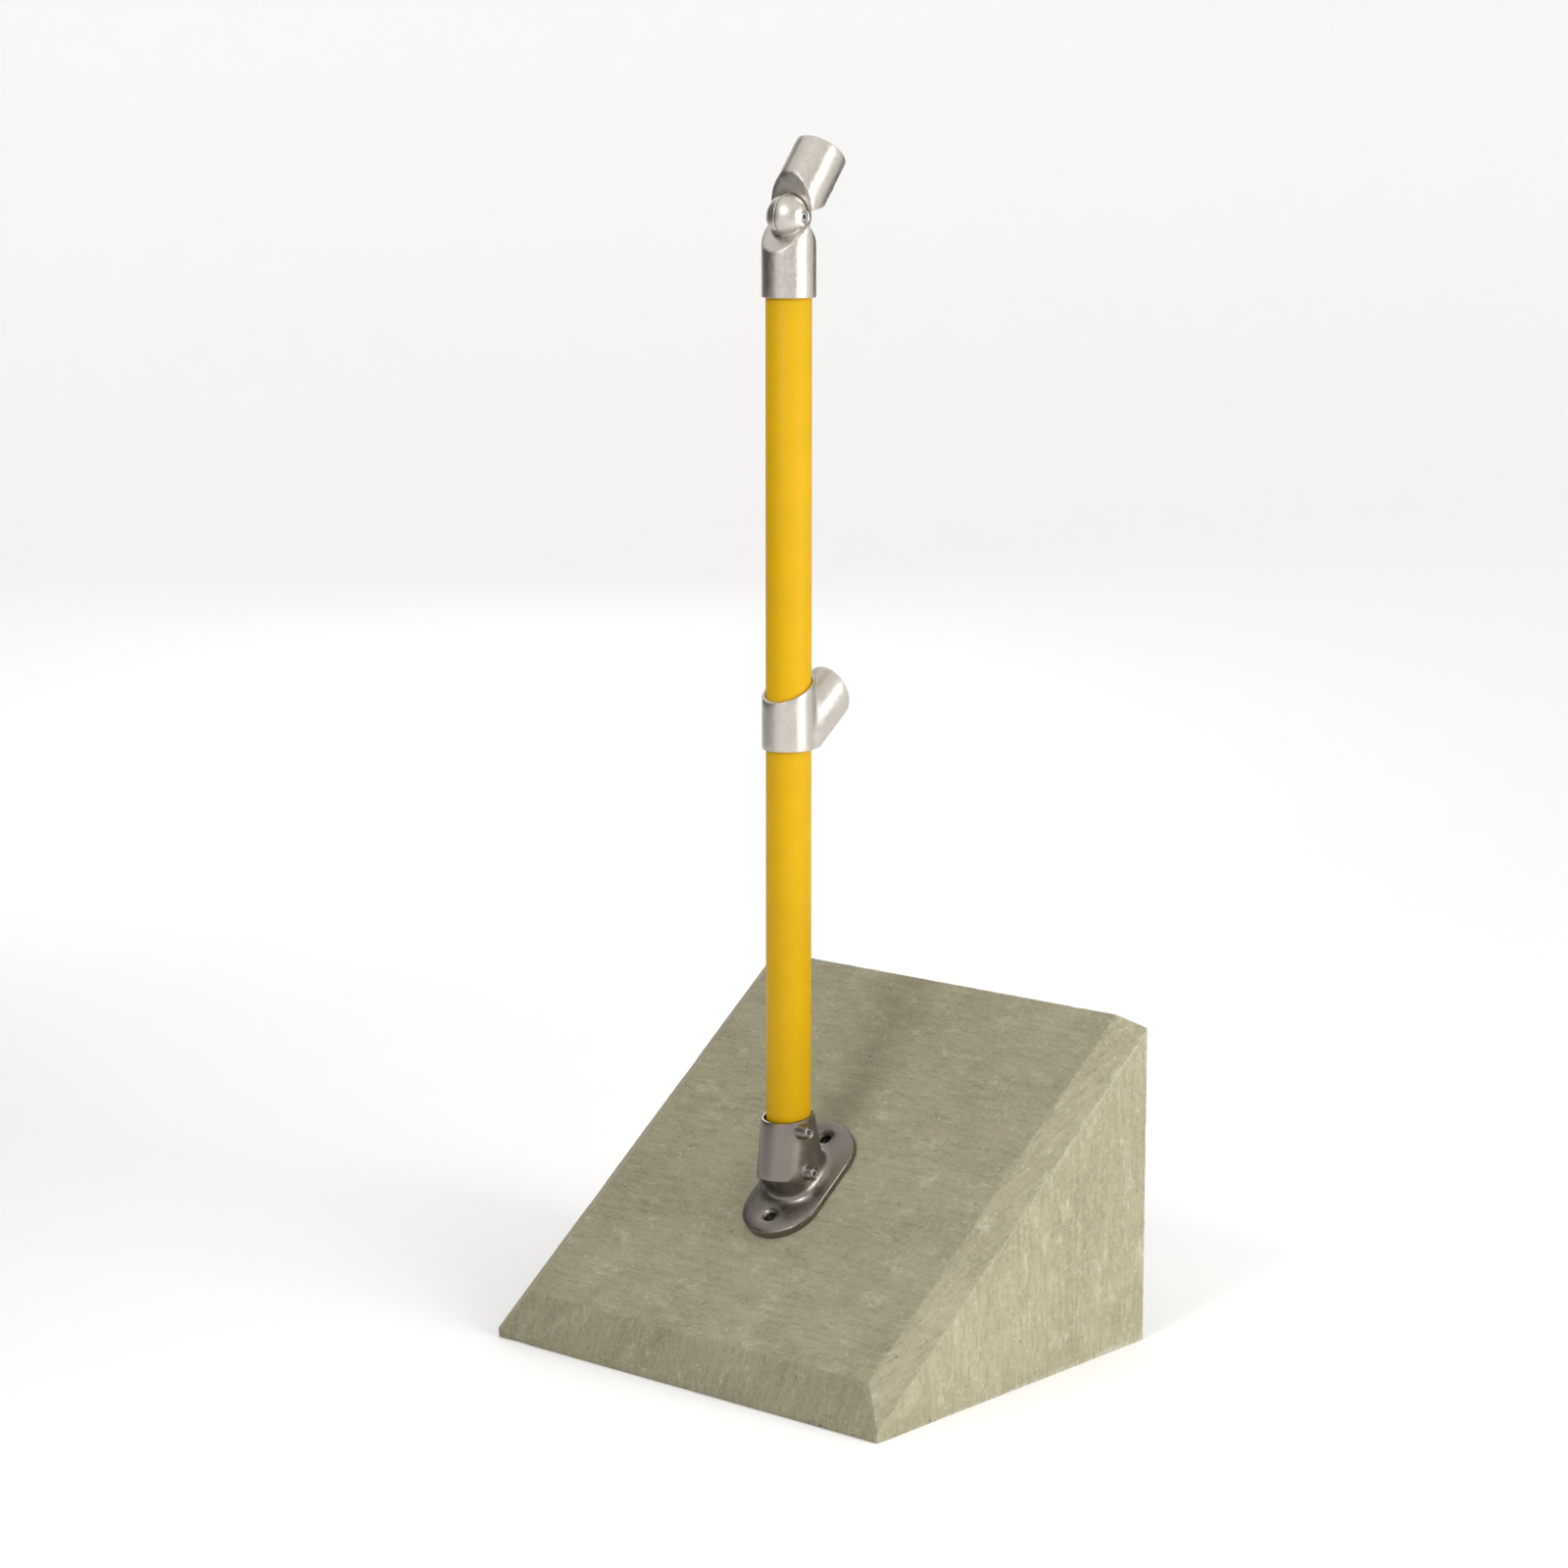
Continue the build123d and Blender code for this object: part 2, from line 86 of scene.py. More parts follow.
# Painted shade of the cast faces: each face's colour is darkened by how little light it gets, the right side
# lightest. Listed are the slope, the underside, and each side from the front round by the right, as its
# wall's painted shade, its bevel's painted shade and the direction of its bevel's form streaks.
SLOPE_PAINTED_SHADE = 0.82
UNDER_PAINTED_SHADE = 0.8
SIDES = {
    "front": (0.80, 0.77, (0, 0, 1)), "right": (1.0, 0.82, (0.75, 0.5, 1)),
    "back": (0.92, 0.90, (0, 0, 1)), "left": (0.95, 0.95, (-0.75, 0.5, 1))}

# Meshing of the pieces, in metres where they are lengths.
DOUBLES = 1e-6
FILLET_STEPS = 210
FILLET_LIMIT = 0.0235
FILLET_FADE = 0.006
FILLET_RINGS = 9
HOLLOW_PULL = 1.2e-5
SHADING_ROUNDS = 45
SHADING_CONTRAST = 0.02
RIPPLE_SCALE = 300.0
PIT_MARGIN = 0.0026
PIT_RADII = (0.0009, 0.0022)
WEAR_SPREAD = 2.4
STIRRUP_PLACES = (-0.2, -0.067, 0.067, 0.2)
BEND_RADIUS = 0.016

# Studio, in metres.
CAMERA_PLACE = (2.7568, -3.2356, 1.3584)
CAMERA_AIM = (-0.6458, 0.7438, -0.1725)
CARD_RADIUS = 3.9
CARD_HEIGHT = 4.2
WORLD_COLOUR = (1.0, 0.992, 0.98, 1.0)


# ---------------------------------------------------------------- settings
class ConcreteSettings(bpy.types.PropertyGroup):
    """Sizes and colours of the cast block."""
    bevel_side: FloatProperty(
        name="Side Bevel", description="Width of the bevel across the slope",
        default=0.029, unit="LENGTH")
    bevel_front: FloatProperty(
        name="Toe Bevel", description="Length of the bevel along the slope at the toe",
        default=0.026, unit="LENGTH")
    bevel_back: FloatProperty(
        name="Crest Bevel", description="Length of the bevel along the slope at the crest",
        default=0.0215, unit="LENGTH")
    bevel_drop: FloatProperty(
        name="Bevel Drop", description="Height the bevel takes off the upright faces",
        default=0.0265, unit="LENGTH")
    arris_wear: FloatProperty(
        name="Arris Wear", description="Usual depth that the edges are rubbed back",
        default=0.0003, unit="LENGTH")
    chip_depth: FloatProperty(
        name="Chip Depth", description="Depth of the largest chips along the edges",
        default=0.0021, unit="LENGTH")
    pits: IntProperty(name="Pits", description="Number of air pits in the cast faces", default=80)
    colour: FloatVectorProperty(
        name="Cement Colour", description="Colour of the clean cement skin",
        default=(0.315, 0.290, 0.198), size=3, subtype="COLOR")


class PostSettings(bpy.types.PropertyGroup):
    """Sizes and colour of the coated post."""
    radius: FloatProperty(
        name="Tube Radius", description="Outside radius of the tube", default=0.02415, unit="LENGTH")
    wall: FloatProperty(
        name="Wall", description="Wall thickness of the tube", default=0.0032, unit="LENGTH")
    colour: FloatVectorProperty(
        name="Coating Colour", description="Colour of the powder coating",
        default=(0.552, 0.322, 0.0035), size=3, subtype="COLOR")


class CastingSettings(bpy.types.PropertyGroup):
    """Finish of the cast fittings."""
    voxel: FloatProperty(
        name="Casting Detail", description="Size of the cells that the castings are rounded with",
        default=0.0008, unit="LENGTH")
    base_voxel: FloatProperty(
        name="Base Casting Detail", description="Size of the cells that the base casting is rounded with",
        default=0.00096, unit="LENGTH")
    rounding: IntProperty(
        name="Rounding Steps", description="Smoothing steps that soften a casting's edges", default=10)
    ripple: FloatProperty(
        name="Ripple", description="Height of the hammered ripple on cast faces",
        default=0.000008, unit="LENGTH")
    colour: FloatVectorProperty(
        name="Casting Colour", description="Colour of the bright cast fittings",
        default=(0.56, 0.526, 0.480), size=3, subtype="COLOR")
    base_colour: FloatVectorProperty(
        name="Base Casting Colour", description="Colour of the darker base casting",
        default=(0.222, 0.200, 0.176), size=3, subtype="COLOR")


class SteelSettings(bpy.types.PropertyGroup):
    """Screws, anchors and reinforcement."""
    thread_depth: FloatProperty(
        name="Thread Depth", description="Depth of the screw threads", default=0.0005, unit="LENGTH")
    rib_pitch: FloatProperty(
        name="Rib Pitch", description="Distance between the ribs of the bars", default=0.007, unit="LENGTH")
    rib_height: FloatProperty(
        name="Rib Height", description="Height of the ribs of the bars", default=0.0005, unit="LENGTH")
    knurls: IntProperty(
        name="Knurls", description="Ridges round the head of the pivot bolt", default=36)


class StageSettings(bpy.types.PropertyGroup):
    """Floor, lights and camera."""
    lens: FloatProperty(name="Lens", description="Focal length of the camera in millimetres", default=92.99)
    floor_colour: FloatVectorProperty(
        name="Floor Colour", description="Colour of the studio floor",
        default=(0.86, 0.86, 0.86), size=3, subtype="COLOR")


# ---------------------------------------------------------------- node helpers
class Builder:
    """Adds nodes to one tree and joins them."""

    def __init__(self, tree):
        self.tree = tree

    def add(self, kind, inputs=None, **settings):
        """A node with its settings, and its inputs by name or number: a value or a socket to join."""
        node = self.tree.nodes.new(kind)
        for key, value in settings.items():
            setattr(node, key, value)
        for key, value in (inputs or {}).items():
            self.join(value, node.inputs[key])
        return node

    def join(self, value, socket):
        """Joins a socket, or sets a plain value."""
        if isinstance(value, bpy.types.NodeSocket):
            self.tree.links.new(value, socket)
        else:
            socket.default_value = value

    def maths(self, operation, first, second=0.0, third=0.0):
        """One math step."""
        return self.add("ShaderNodeMath", {0: first, 1: second, 2: third}, operation=operation).outputs[0]

    def blend(self, factor, first, second, kind="MIX"):
        """Mixes two colours, each a socket or three numbers."""
        colours = [c if isinstance(c, bpy.types.NodeSocket) else (*c, 1.0) for c in (first, second)]
        inputs = {0: factor, 6: colours[0], 7: colours[1]}
        node = self.add("ShaderNodeMix", inputs, data_type="RGBA", blend_type=kind)
        return node.outputs[2]

    def ramp(self, value, low, high, start=0.0, end=1.0):
        """Spreads a value from low..high to start..end with soft ends."""
        inputs = {"Value": value, "From Min": low, "From Max": high, "To Min": start, "To Max": end}
        node = self.add("ShaderNodeMapRange", inputs, interpolation_type="SMOOTHSTEP")
        return node.outputs[0]

    def noise(self, vector, scale, detail=4.0, roughness=0.55):
        """Smooth noise between 0 and 1."""
        inputs = {"Vector": vector, "Scale": scale, "Detail": detail, "Roughness": roughness}
        return self.add("ShaderNodeTexNoise", inputs).outputs[0]

    def cells(self, vector, scale):
        """Distance to the middle of the nearest cell of a cell pattern."""
        return self.add("ShaderNodeTexVoronoi", {"Vector": vector, "Scale": scale}).outputs["Distance"]

    def stretch(self, vector, scale):
        """A vector stretched on its own axes."""
        return self.add("ShaderNodeMapping", {"Vector": vector, "Scale": scale}).outputs[0]

    def layer(self, skin, mask, strength, colour):
        """Lays a colour over the skin where the mask is."""
        return self.blend(self.maths("MULTIPLY", mask, strength), skin, colour)

    def relief(self, shader, height, strength, distance):
        """Gives the shader the fine relief of a height."""
        bump = self.add("ShaderNodeBump", {"Height": height, "Strength": strength, "Distance": distance})
        self.join(bump.outputs[0], shader.inputs["Normal"])


def group(name, inputs, outputs, fill):
    """A shader node group with named sockets, filled by a function."""
    tree = bpy.data.node_groups.new(name, "ShaderNodeTree")
    for socket, kind, value in inputs:
        item = tree.interface.new_socket(socket, in_out="INPUT", socket_type=kind)
        if value is not None:
            item.default_value = value
    for socket, kind in outputs:
        tree.interface.new_socket(socket, in_out="OUTPUT", socket_type=kind)
    builder = Builder(tree)
    entry = builder.add("NodeGroupInput")
    leave = builder.add("NodeGroupOutput")
    for socket, value in fill(builder, entry.outputs).items():
        builder.join(value, leave.inputs[socket])
    return tree


FLOAT = "NodeSocketFloat"
VECTOR = "NodeSocketVector"


def fill_grain(b, given):
    """Fine sand or casting grain: sharp small grains over a softer unevenness."""
    fine = b.noise(given["Vector"], given["Fine Scale"], 3.0, 0.7)
    broad = b.noise(given["Vector"], given["Broad Scale"], 2.0)
    mixed = b.maths("MULTIPLY_ADD", broad, 0.6, b.maths("MULTIPLY", fine, 0.4))
    return {"Height": mixed, "Mask": b.ramp(mixed, 0.35, 0.65)}


def fill_clouds(b, given):
    """Broad soft patches."""
    first = b.noise(given["Vector"], given["Scale"], 5.0, 0.6)
    second = b.noise(given["Vector"], b.maths("MULTIPLY", given["Scale"], 3.7), 3.0)
    both = b.maths("MULTIPLY_ADD", first, 0.7, b.maths("MULTIPLY", second, 0.3))
    return {"Mask": b.ramp(both, given["Low"], given["High"])}


def fill_edge_wear(b, given):
    """Edges rubbed bright: bulging places broken up by noise."""
    bulge = b.add("ShaderNodeNewGeometry").outputs["Pointiness"]
    edge = b.ramp(bulge, given["Start"], given["Full"])
    broken = b.ramp(b.noise(given["Vector"], given["Scale"], 4.0, 0.7), 0.35, 0.6)
    return {"Mask": b.maths("MULTIPLY", edge, broken)}


def fill_dust(b, given):
    """Pale dust that settles on what faces up."""
    normal = b.add("ShaderNodeNewGeometry").outputs["Normal"]
    up = b.add("ShaderNodeSeparateXYZ", {0: normal}).outputs[2]
    settled = b.ramp(up, 0.25, 1.0)
    patchy = b.ramp(b.noise(given["Vector"], given["Scale"], 6.0, 0.65), 0.35, 0.7)
    amount = b.maths("MULTIPLY", settled, patchy)
    return {"Mask": b.maths("MULTIPLY", amount, given["Amount"])}


def shared_groups():
    """The effects that several materials use."""
    where = ("Vector", VECTOR, None)
    return {
        "grain": group(
            "Grain", [where, ("Fine Scale", FLOAT, 900.0), ("Broad Scale", FLOAT, 200.0)],
            [("Height", FLOAT), ("Mask", FLOAT)], fill_grain),
        "clouds": group(
            "Clouds", [where, ("Scale", FLOAT, 5.0), ("Low", FLOAT, 0.4), ("High", FLOAT, 0.6)],
            [("Mask", FLOAT)], fill_clouds),
        "edge wear": group(
            "Edge Wear",
            [where, ("Scale", FLOAT, 80.0), ("Start", FLOAT, 0.52), ("Full", FLOAT, 0.6)],
            [("Mask", FLOAT)], fill_edge_wear),
        "dust": group(
            "Dust", [where, ("Scale", FLOAT, 20.0), ("Amount", FLOAT, 0.3)],
            [("Mask", FLOAT)], fill_dust),
    }


GROUPS = {}


def effect(b, name, **values):
    """One of the shared effects, placed in a material with its own values."""
    if not GROUPS:
        GROUPS.update(shared_groups())
    node = b.add("ShaderNodeGroup", node_tree=GROUPS[name])
    for key, value in values.items():
        b.join(value, node.inputs[key.replace("_", " ").title()])
    return node.outputs


def start_material(name):
    """A material with a Principled shader, its tree's builder and the object's own coordinates."""
    material = bpy.data.materials.get(name) or bpy.data.materials.new(name)
    material.use_nodes = True
    material.node_tree.nodes.clear()
    b = Builder(material.node_tree)
    shader = b.add("ShaderNodeBsdfPrincipled")
    b.add("ShaderNodeOutputMaterial", {"Surface": shader.outputs[0]})
    place = b.add("ShaderNodeTexCoord").outputs["Object"]
    return material, b, shader, place


def scaled(colour, amount):
    """A colour made lighter or darker."""
    return [channel * amount for channel in colour]


# ---------------------------------------------------------------- materials
def concrete_material(colour):
    """Cement skin with form streaks, pale bloom, white specks and pits painted near-black as painted shade,
    each face darkened by its own painted shade.
    """
    material, b, shader, place = start_material("cast_concrete")
    form = b.add("ShaderNodeUVMap", uv_map="form").outputs[0]
    # The tone map holds painted shade: each face is darkened by how little light it gets.
    painted_shade_uv = b.add("ShaderNodeUVMap", uv_map="tone").outputs[0]
    tone = b.add("ShaderNodeSeparateXYZ", {0: painted_shade_uv}).outputs[0]
    long_streaks = b.noise(b.stretch(form, (15.0, 150.0, 1.0)), 1.0, 6.0, 0.7)
    fine_streaks = b.noise(b.stretch(form, (50.0, 620.0, 1.0)), 1.0, 4.0, 0.65)
    streaks = b.maths("MULTIPLY_ADD", fine_streaks, 0.5, b.maths("MULTIPLY", long_streaks, 0.5))
    clouds = effect(b, "clouds", Vector=place, Scale=4.5, Low=0.38, High=0.66)["Mask"]
    stains = effect(b, "clouds", Vector=place, Scale=21.0, Low=0.40, High=0.66)["Mask"]
    patches = b.stretch(form, (26.0, 44.0, 1.0))
    bloom = effect(b, "clouds", Vector=patches, Scale=1.0, Low=0.50, High=0.68)["Mask"]
    broken = b.ramp(b.noise(b.stretch(form, (140.0, 420.0, 1.0)), 1.0, 5.0, 0.7), 0.36, 0.60)
    bloom = b.maths("MULTIPLY", bloom, broken)
    grain = effect(b, "grain", Vector=place, Fine_Scale=1100.0, Broad_Scale=240.0)
    dust = effect(b, "dust", Vector=place, Scale=14.0, Amount=0.16)["Mask"]
    skin = b.blend(clouds, scaled(colour, 0.90), scaled(colour, 1.08))
    skin = b.layer(skin, stains, 0.6, scaled(colour, 0.72))
    skin = b.layer(skin, b.ramp(streaks, 0.52, 0.42), 0.55, scaled(colour, 0.55))
    skin = b.layer(skin, b.ramp(streaks, 0.52, 0.66), 0.28, (0.50, 0.475, 0.375))
    skin = b.layer(skin, bloom, 0.62, (0.56, 0.535, 0.43))
    skin = b.blend(dust, skin, (0.48, 0.455, 0.37))
    skin = b.layer(skin, grain["Mask"], 0.42, scaled(colour, 1.42))
    specks = b.ramp(b.cells(place, 150.0), 0.14, 0.06)
    lucky = b.ramp(b.noise(place, 60.0, 1.0), 0.50, 0.57)
    skin = b.layer(skin, b.maths("MULTIPLY", specks, lucky), 0.75, (0.78, 0.77, 0.72))
    # Painted shade: the small pits are sunk by the relief below, and are painted near-black for the shade
    # inside them.
    holes = b.ramp(b.cells(b.stretch(place, (1.0, 1.0, 1.3)), 95.0), 0.075, 0.045)
    rare = b.ramp(b.noise(place, 37.0, 1.0), 0.60, 0.66)
    pitted = b.maths("MULTIPLY", holes, rare)
    skin = b.layer(skin, pitted, 0.75, (0.09, 0.085, 0.065))
    wear = effect(b, "edge wear", Vector=place, Scale=120.0, Start=0.51, Full=0.56)["Mask"]
    skin = b.layer(skin, wear, 0.45, (0.60, 0.58, 0.52))
    # Painted shade: the skin is multiplied by each face's painted shade.
    painted_face_shade = b.add("ShaderNodeCombineColor", {0: tone, 1: tone, 2: b.maths("MULTIPLY", tone, 0.985)}).outputs[0]
    b.join(b.blend(1.0, skin, painted_face_shade, "MULTIPLY"), shader.inputs["Base Color"])
    b.join(b.ramp(grain["Mask"], 0.0, 1.0, 0.78, 0.92), shader.inputs["Roughness"])
    height = b.maths("MULTIPLY_ADD", streaks, 0.5, b.maths("MULTIPLY", grain["Height"], 0.9))
    height = b.maths("SUBTRACT", height, b.maths("MULTIPLY", pitted, 1.6))
    b.relief(shader, height, 0.8, 0.0007)
    shader.inputs["Specular IOR Level"].default_value = 0.35
    return material


def coating_material(colour):
    """Satin powder coating with a faint orange peel and rubbed marks."""
    material, b, shader, place = start_material("yellow_coating")
    clouds = effect(b, "clouds", Vector=place, Scale=9.0, Low=0.35, High=0.7)["Mask"]
    scuffs = b.ramp(b.noise(b.stretch(place, (260.0, 260.0, 12.0)), 1.0, 5.0, 0.7), 0.60, 0.72)
    dust = effect(b, "dust", Vector=place, Scale=40.0, Amount=0.3)["Mask"]
    coat = b.blend(clouds, scaled(colour, 0.95), scaled(colour, 1.04))
    coat = b.layer(coat, scuffs, 0.08, (0.52, 0.31, 0.02))
    coat = b.blend(dust, coat, (0.56, 0.48, 0.30))
    b.join(coat, shader.inputs["Base Color"])
    grain = effect(b, "grain", Vector=place, Fine_Scale=1500.0, Broad_Scale=520.0)
    rough = b.maths("MULTIPLY_ADD", scuffs, 0.12, b.ramp(grain["Mask"], 0.0, 1.0, 0.44, 0.54))
    b.join(rough, shader.inputs["Roughness"])
    b.relief(shader, grain["Height"], 0.18, 0.0003)
    shader.inputs["Specular IOR Level"].default_value = 0.12
    return material


def metal_material(name, colour, roughness, brush, dull, dust_amount):
    """Bare metal: clouded tone, fine brushed or cast grain, rubbed edges and a little dust."""
    material, b, shader, place = start_material(name)
    grain = effect(b, "grain", Vector=b.stretch(place, brush), Fine_Scale=1.0, Broad_Scale=0.28)
    clouds = effect(b, "clouds", Vector=place, Scale=14.0, Low=0.35, High=0.68)["Mask"]
    wear = effect(b, "edge wear", Vector=place, Scale=160.0, Start=0.53, Full=0.62)["Mask"]
    dust = effect(b, "dust", Vector=place, Scale=60.0, Amount=dust_amount)["Mask"]
    face = b.blend(clouds, scaled(colour, 0.90), scaled(colour, 1.03))
    face = b.layer(face, grain["Mask"], 0.35, scaled(colour, 1.22))
    face = b.layer(face, wear, 0.5, (0.72, 0.70, 0.66))
    face = b.blend(dust, face, (0.45, 0.43, 0.38))
    b.join(face, shader.inputs["Base Color"])
    sheen = b.ramp(grain["Mask"], 0.0, 1.0, roughness - 0.05, roughness + 0.06)
    uneven = b.maths("MULTIPLY_ADD", clouds, dull, sheen)
    b.join(b.maths("SUBTRACT", uneven, b.maths("MULTIPLY", wear, 0.08)), shader.inputs["Roughness"])
    b.relief(shader, grain["Height"], 0.14, 0.0002)
    shader.inputs["Metallic"].default_value = 1.0
    return material


def rebar_material():
    """Mill scale with a bloom of rust."""
    material, b, shader, place = start_material("rusty_rebar")
    clouds = effect(b, "clouds", Vector=place, Scale=28.0, Low=0.4, High=0.6)["Mask"]
    grain = effect(b, "grain", Vector=place, Fine_Scale=1800.0, Broad_Scale=420.0)
    skin = b.blend(clouds, (0.11, 0.085, 0.07), (0.27, 0.11, 0.045))
    skin = b.layer(skin, grain["Mask"], 0.4, (0.34, 0.17, 0.07))
    b.join(skin, shader.inputs["Base Color"])
    b.join(b.ramp(clouds, 0.0, 1.0, 0.55, 0.88), shader.inputs["Roughness"])
    b.join(b.ramp(clouds, 0.0, 1.0, 0.7, 0.1), shader.inputs["Metallic"])
    b.relief(shader, grain["Height"], 0.5, 0.0003)
    return material


def floor_material(colour):
    """Pale studio floor, with painted light that makes it paler as it rises into the backdrop."""
    material, b, shader, place = start_material("studio_floor")
    soft = effect(b, "clouds", Vector=place, Scale=0.6, Low=0.3, High=0.7)["Mask"]
    # Painted light: the backdrop is made paler with height, in place of light that the lamps don't give it.
    painted_wall_light = b.ramp(b.add("ShaderNodeSeparateXYZ", {0: place}).outputs[2], 0.05, 1.6)
    paint = b.blend(soft, scaled(colour, 0.995), scaled(colour, 1.0))
    b.join(b.blend(painted_wall_light, paint, scaled(colour, 1.07)), shader.inputs["Base Color"])
    shader.inputs["Roughness"].default_value = 0.9
    shader.inputs["Specular IOR Level"].default_value = 0.1
    return material


def card_material():
    """Dull dark cloth of the studio's cards."""
    material, b, shader, place = start_material("dark_cloth")
    weave = effect(b, "grain", Vector=place, Fine_Scale=600.0, Broad_Scale=90.0)["Mask"]
    b.join(b.blend(weave, (0.085, 0.078, 0.070), (0.11, 0.102, 0.093)), shader.inputs["Base Color"])
    shader.inputs["Roughness"].default_value = 1.0
    return material


# ---------------------------------------------------------------- mesh helpers
def add_object(name, mesh):
    """Links a mesh to the scene as an object at the origin."""
    piece = bpy.data.objects.new(name, mesh)
    bpy.context.scene.collection.objects.link(piece)
    return piece


def mesh_from(name, points, faces):
    """A plain mesh from lists or arrays of points and faces."""
    mesh = bpy.data.meshes.new(name)
    mesh.from_pydata([tuple(p) for p in points], [], [tuple(f) for f in faces])
    mesh.update()
    return mesh


@contextmanager
def editing(mesh):
    """The mesh as a bmesh with its doubles merged, written back at the end."""
    work = bmesh.new()
    work.from_mesh(mesh)
    bmesh.ops.remove_doubles(work, verts=work.verts, dist=DOUBLES)
    yield work
    work.to_mesh(mesh)
    work.free()


def dress(mesh, material):
    """Gives the mesh one material."""
    mesh.materials.clear()
    mesh.materials.append(material)


def finish_mesh(mesh, material, sharp_deg, recalculate=False):
    """Merges doubles, points the faces outwards if asked, shades smooth and sets the material."""
    with editing(mesh) as work:
        if recalculate:
            bmesh.ops.recalc_face_normals(work, faces=work.faces)
        for face in work.faces:
            face.smooth = True
    mesh.set_sharp_from_angle(angle=radians(sharp_deg))
    dress(mesh, material)


def arrays(mesh):
    """The mesh's points and normals, a row for each vertex."""
    points, normals = np.empty(len(mesh.vertices) * 3), np.empty(len(mesh.vertices) * 3)
    mesh.vertices.foreach_get("co", points)
    mesh.vertex_normals.foreach_get("vector", normals)
    return points.reshape(-1, 3), normals.reshape(-1, 3)


def edge_ends(mesh):
    """The two vertex numbers of each edge."""
    edges = np.empty(len(mesh.edges) * 2, np.int64)
    mesh.edges.foreach_get("vertices", edges)
    return edges.reshape(-1, 2)


def move_points(mesh, points):
    """Puts the mesh's vertices at these points."""
    mesh.vertices.foreach_set("co", points.ravel())
    mesh.update()


def attach(piece, body, node):
    """The piece rides on a body and stands for its CAD node, which is hidden."""
    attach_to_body(piece, body)
    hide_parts(node)


def turned(radii, height):
    """Points round the Z axis at one height, one for each radius."""
    steps = [2 * pi * step / len(radii) for step in range(len(radii))]
    return [(r * cos(angle), r * sin(angle), height) for r, angle in zip(radii, steps)]


def join_rows(rows, segments, closed=False):
    """Faces between rows of points, the first row lowest; closed joins the last row to the first."""
    faces = []
    for row in range(rows if closed else rows - 1):
        low, high = row * segments, (row + 1) % rows * segments
        for step in range(segments):
            after = (step + 1) % segments
            faces.append((low + step, low + after, high + after, high + step))
    return faces


def lathe(profile, segments, closed=True):
    """Points and faces of a profile of (radius, height) pairs turned about the Z axis."""
    points = []
    for radius, height in profile:
        points += turned([radius] * segments, height)
    return points, join_rows(len(profile), segments, closed)


def capped(name, points, segments):
    """A mesh of rows of points up the Z axis, with a flat cap at each end."""
    rows = len(points) // segments
    faces = join_rows(rows, segments)
    faces.append(tuple(range(segments - 1, -1, -1)))
    faces.append(tuple(range((rows - 1) * segments, rows * segments)))
    return mesh_from(name, points, faces)


def upright_to(direction, origin):
    """The matrix that takes +Z to a direction and the origin to a point."""
    turn = Vector((0, 0, 1)).rotation_difference(Vector(direction)).to_matrix().to_4x4()
    return Matrix.Translation(Vector(origin)) @ turn


def baked(piece, name):
    """A plain mesh of an object with its modifiers applied; the object is removed."""
    graph = bpy.context.evaluated_depsgraph_get()
    mesh = bpy.data.meshes.new_from_object(piece.evaluated_get(graph))
    mesh.name = name
    bpy.data.objects.remove(piece)
    return mesh


# ---------------------------------------------------------------- concrete block
def block_corners(settings):
    """The block's outer rim, inner rim and footprint, each counter-clockwise from the front left."""
    low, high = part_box("concrete_block")
    half_x, half_y = high.x, high.y
    length = (high.y - low.y) / cos(SLOPE)
    toe = np.array((0.0, low.y, TOE_HEIGHT))
    front = toe + ALONG * settings.bevel_front
    back = toe + ALONG * (length - settings.bevel_back)
    inner_x = half_x - settings.bevel_side
    front_z = TOE_HEIGHT - settings.bevel_drop
    back_z = TOE_HEIGHT + length * sin(SLOPE) - settings.bevel_drop

    def ring(x, front_y, front_height, back_y, back_height):
        places = (
            (-x, front_y, front_height), (x, front_y, front_height),
            (x, back_y, back_height), (-x, back_y, back_height))
        return [np.array(place) for place in places]

    inner = ring(inner_x, front[1], front[2], back[1], back[2])
    outer = ring(half_x, -half_y, front_z, half_y, back_z)
    foot = ring(half_x, -half_y, 0.0, half_y, 0.0)
    return inner, outer, foot


def between(corners, s, t):
    """Points of a flat patch a, b, c, d, at shares s of the way a to b and t of the way a to d."""
    a, b, c, d = corners
    return a * (1 - s) * (1 - t) + b * s * (1 - t) + c * s * t + d * (1 - s) * t


def grid(corners, across, along):
    """Rows of points over a patch, with a number of steps across and along."""
    s = np.linspace(0, 1, across + 1)[None, :, None]
    t = np.linspace(0, 1, along + 1)[:, None, None]
    return between(corners, s, t)


def grid_faces(across, along):
    """Faces of a patch, each as four point numbers."""
    numbers = np.arange((across + 1) * (along + 1)).reshape(along + 1, across + 1)
    corners = (numbers[:-1, :-1], numbers[:-1, 1:], numbers[1:, 1:], numbers[1:, :-1])
    return np.stack([part.ravel() for part in corners], axis=1)


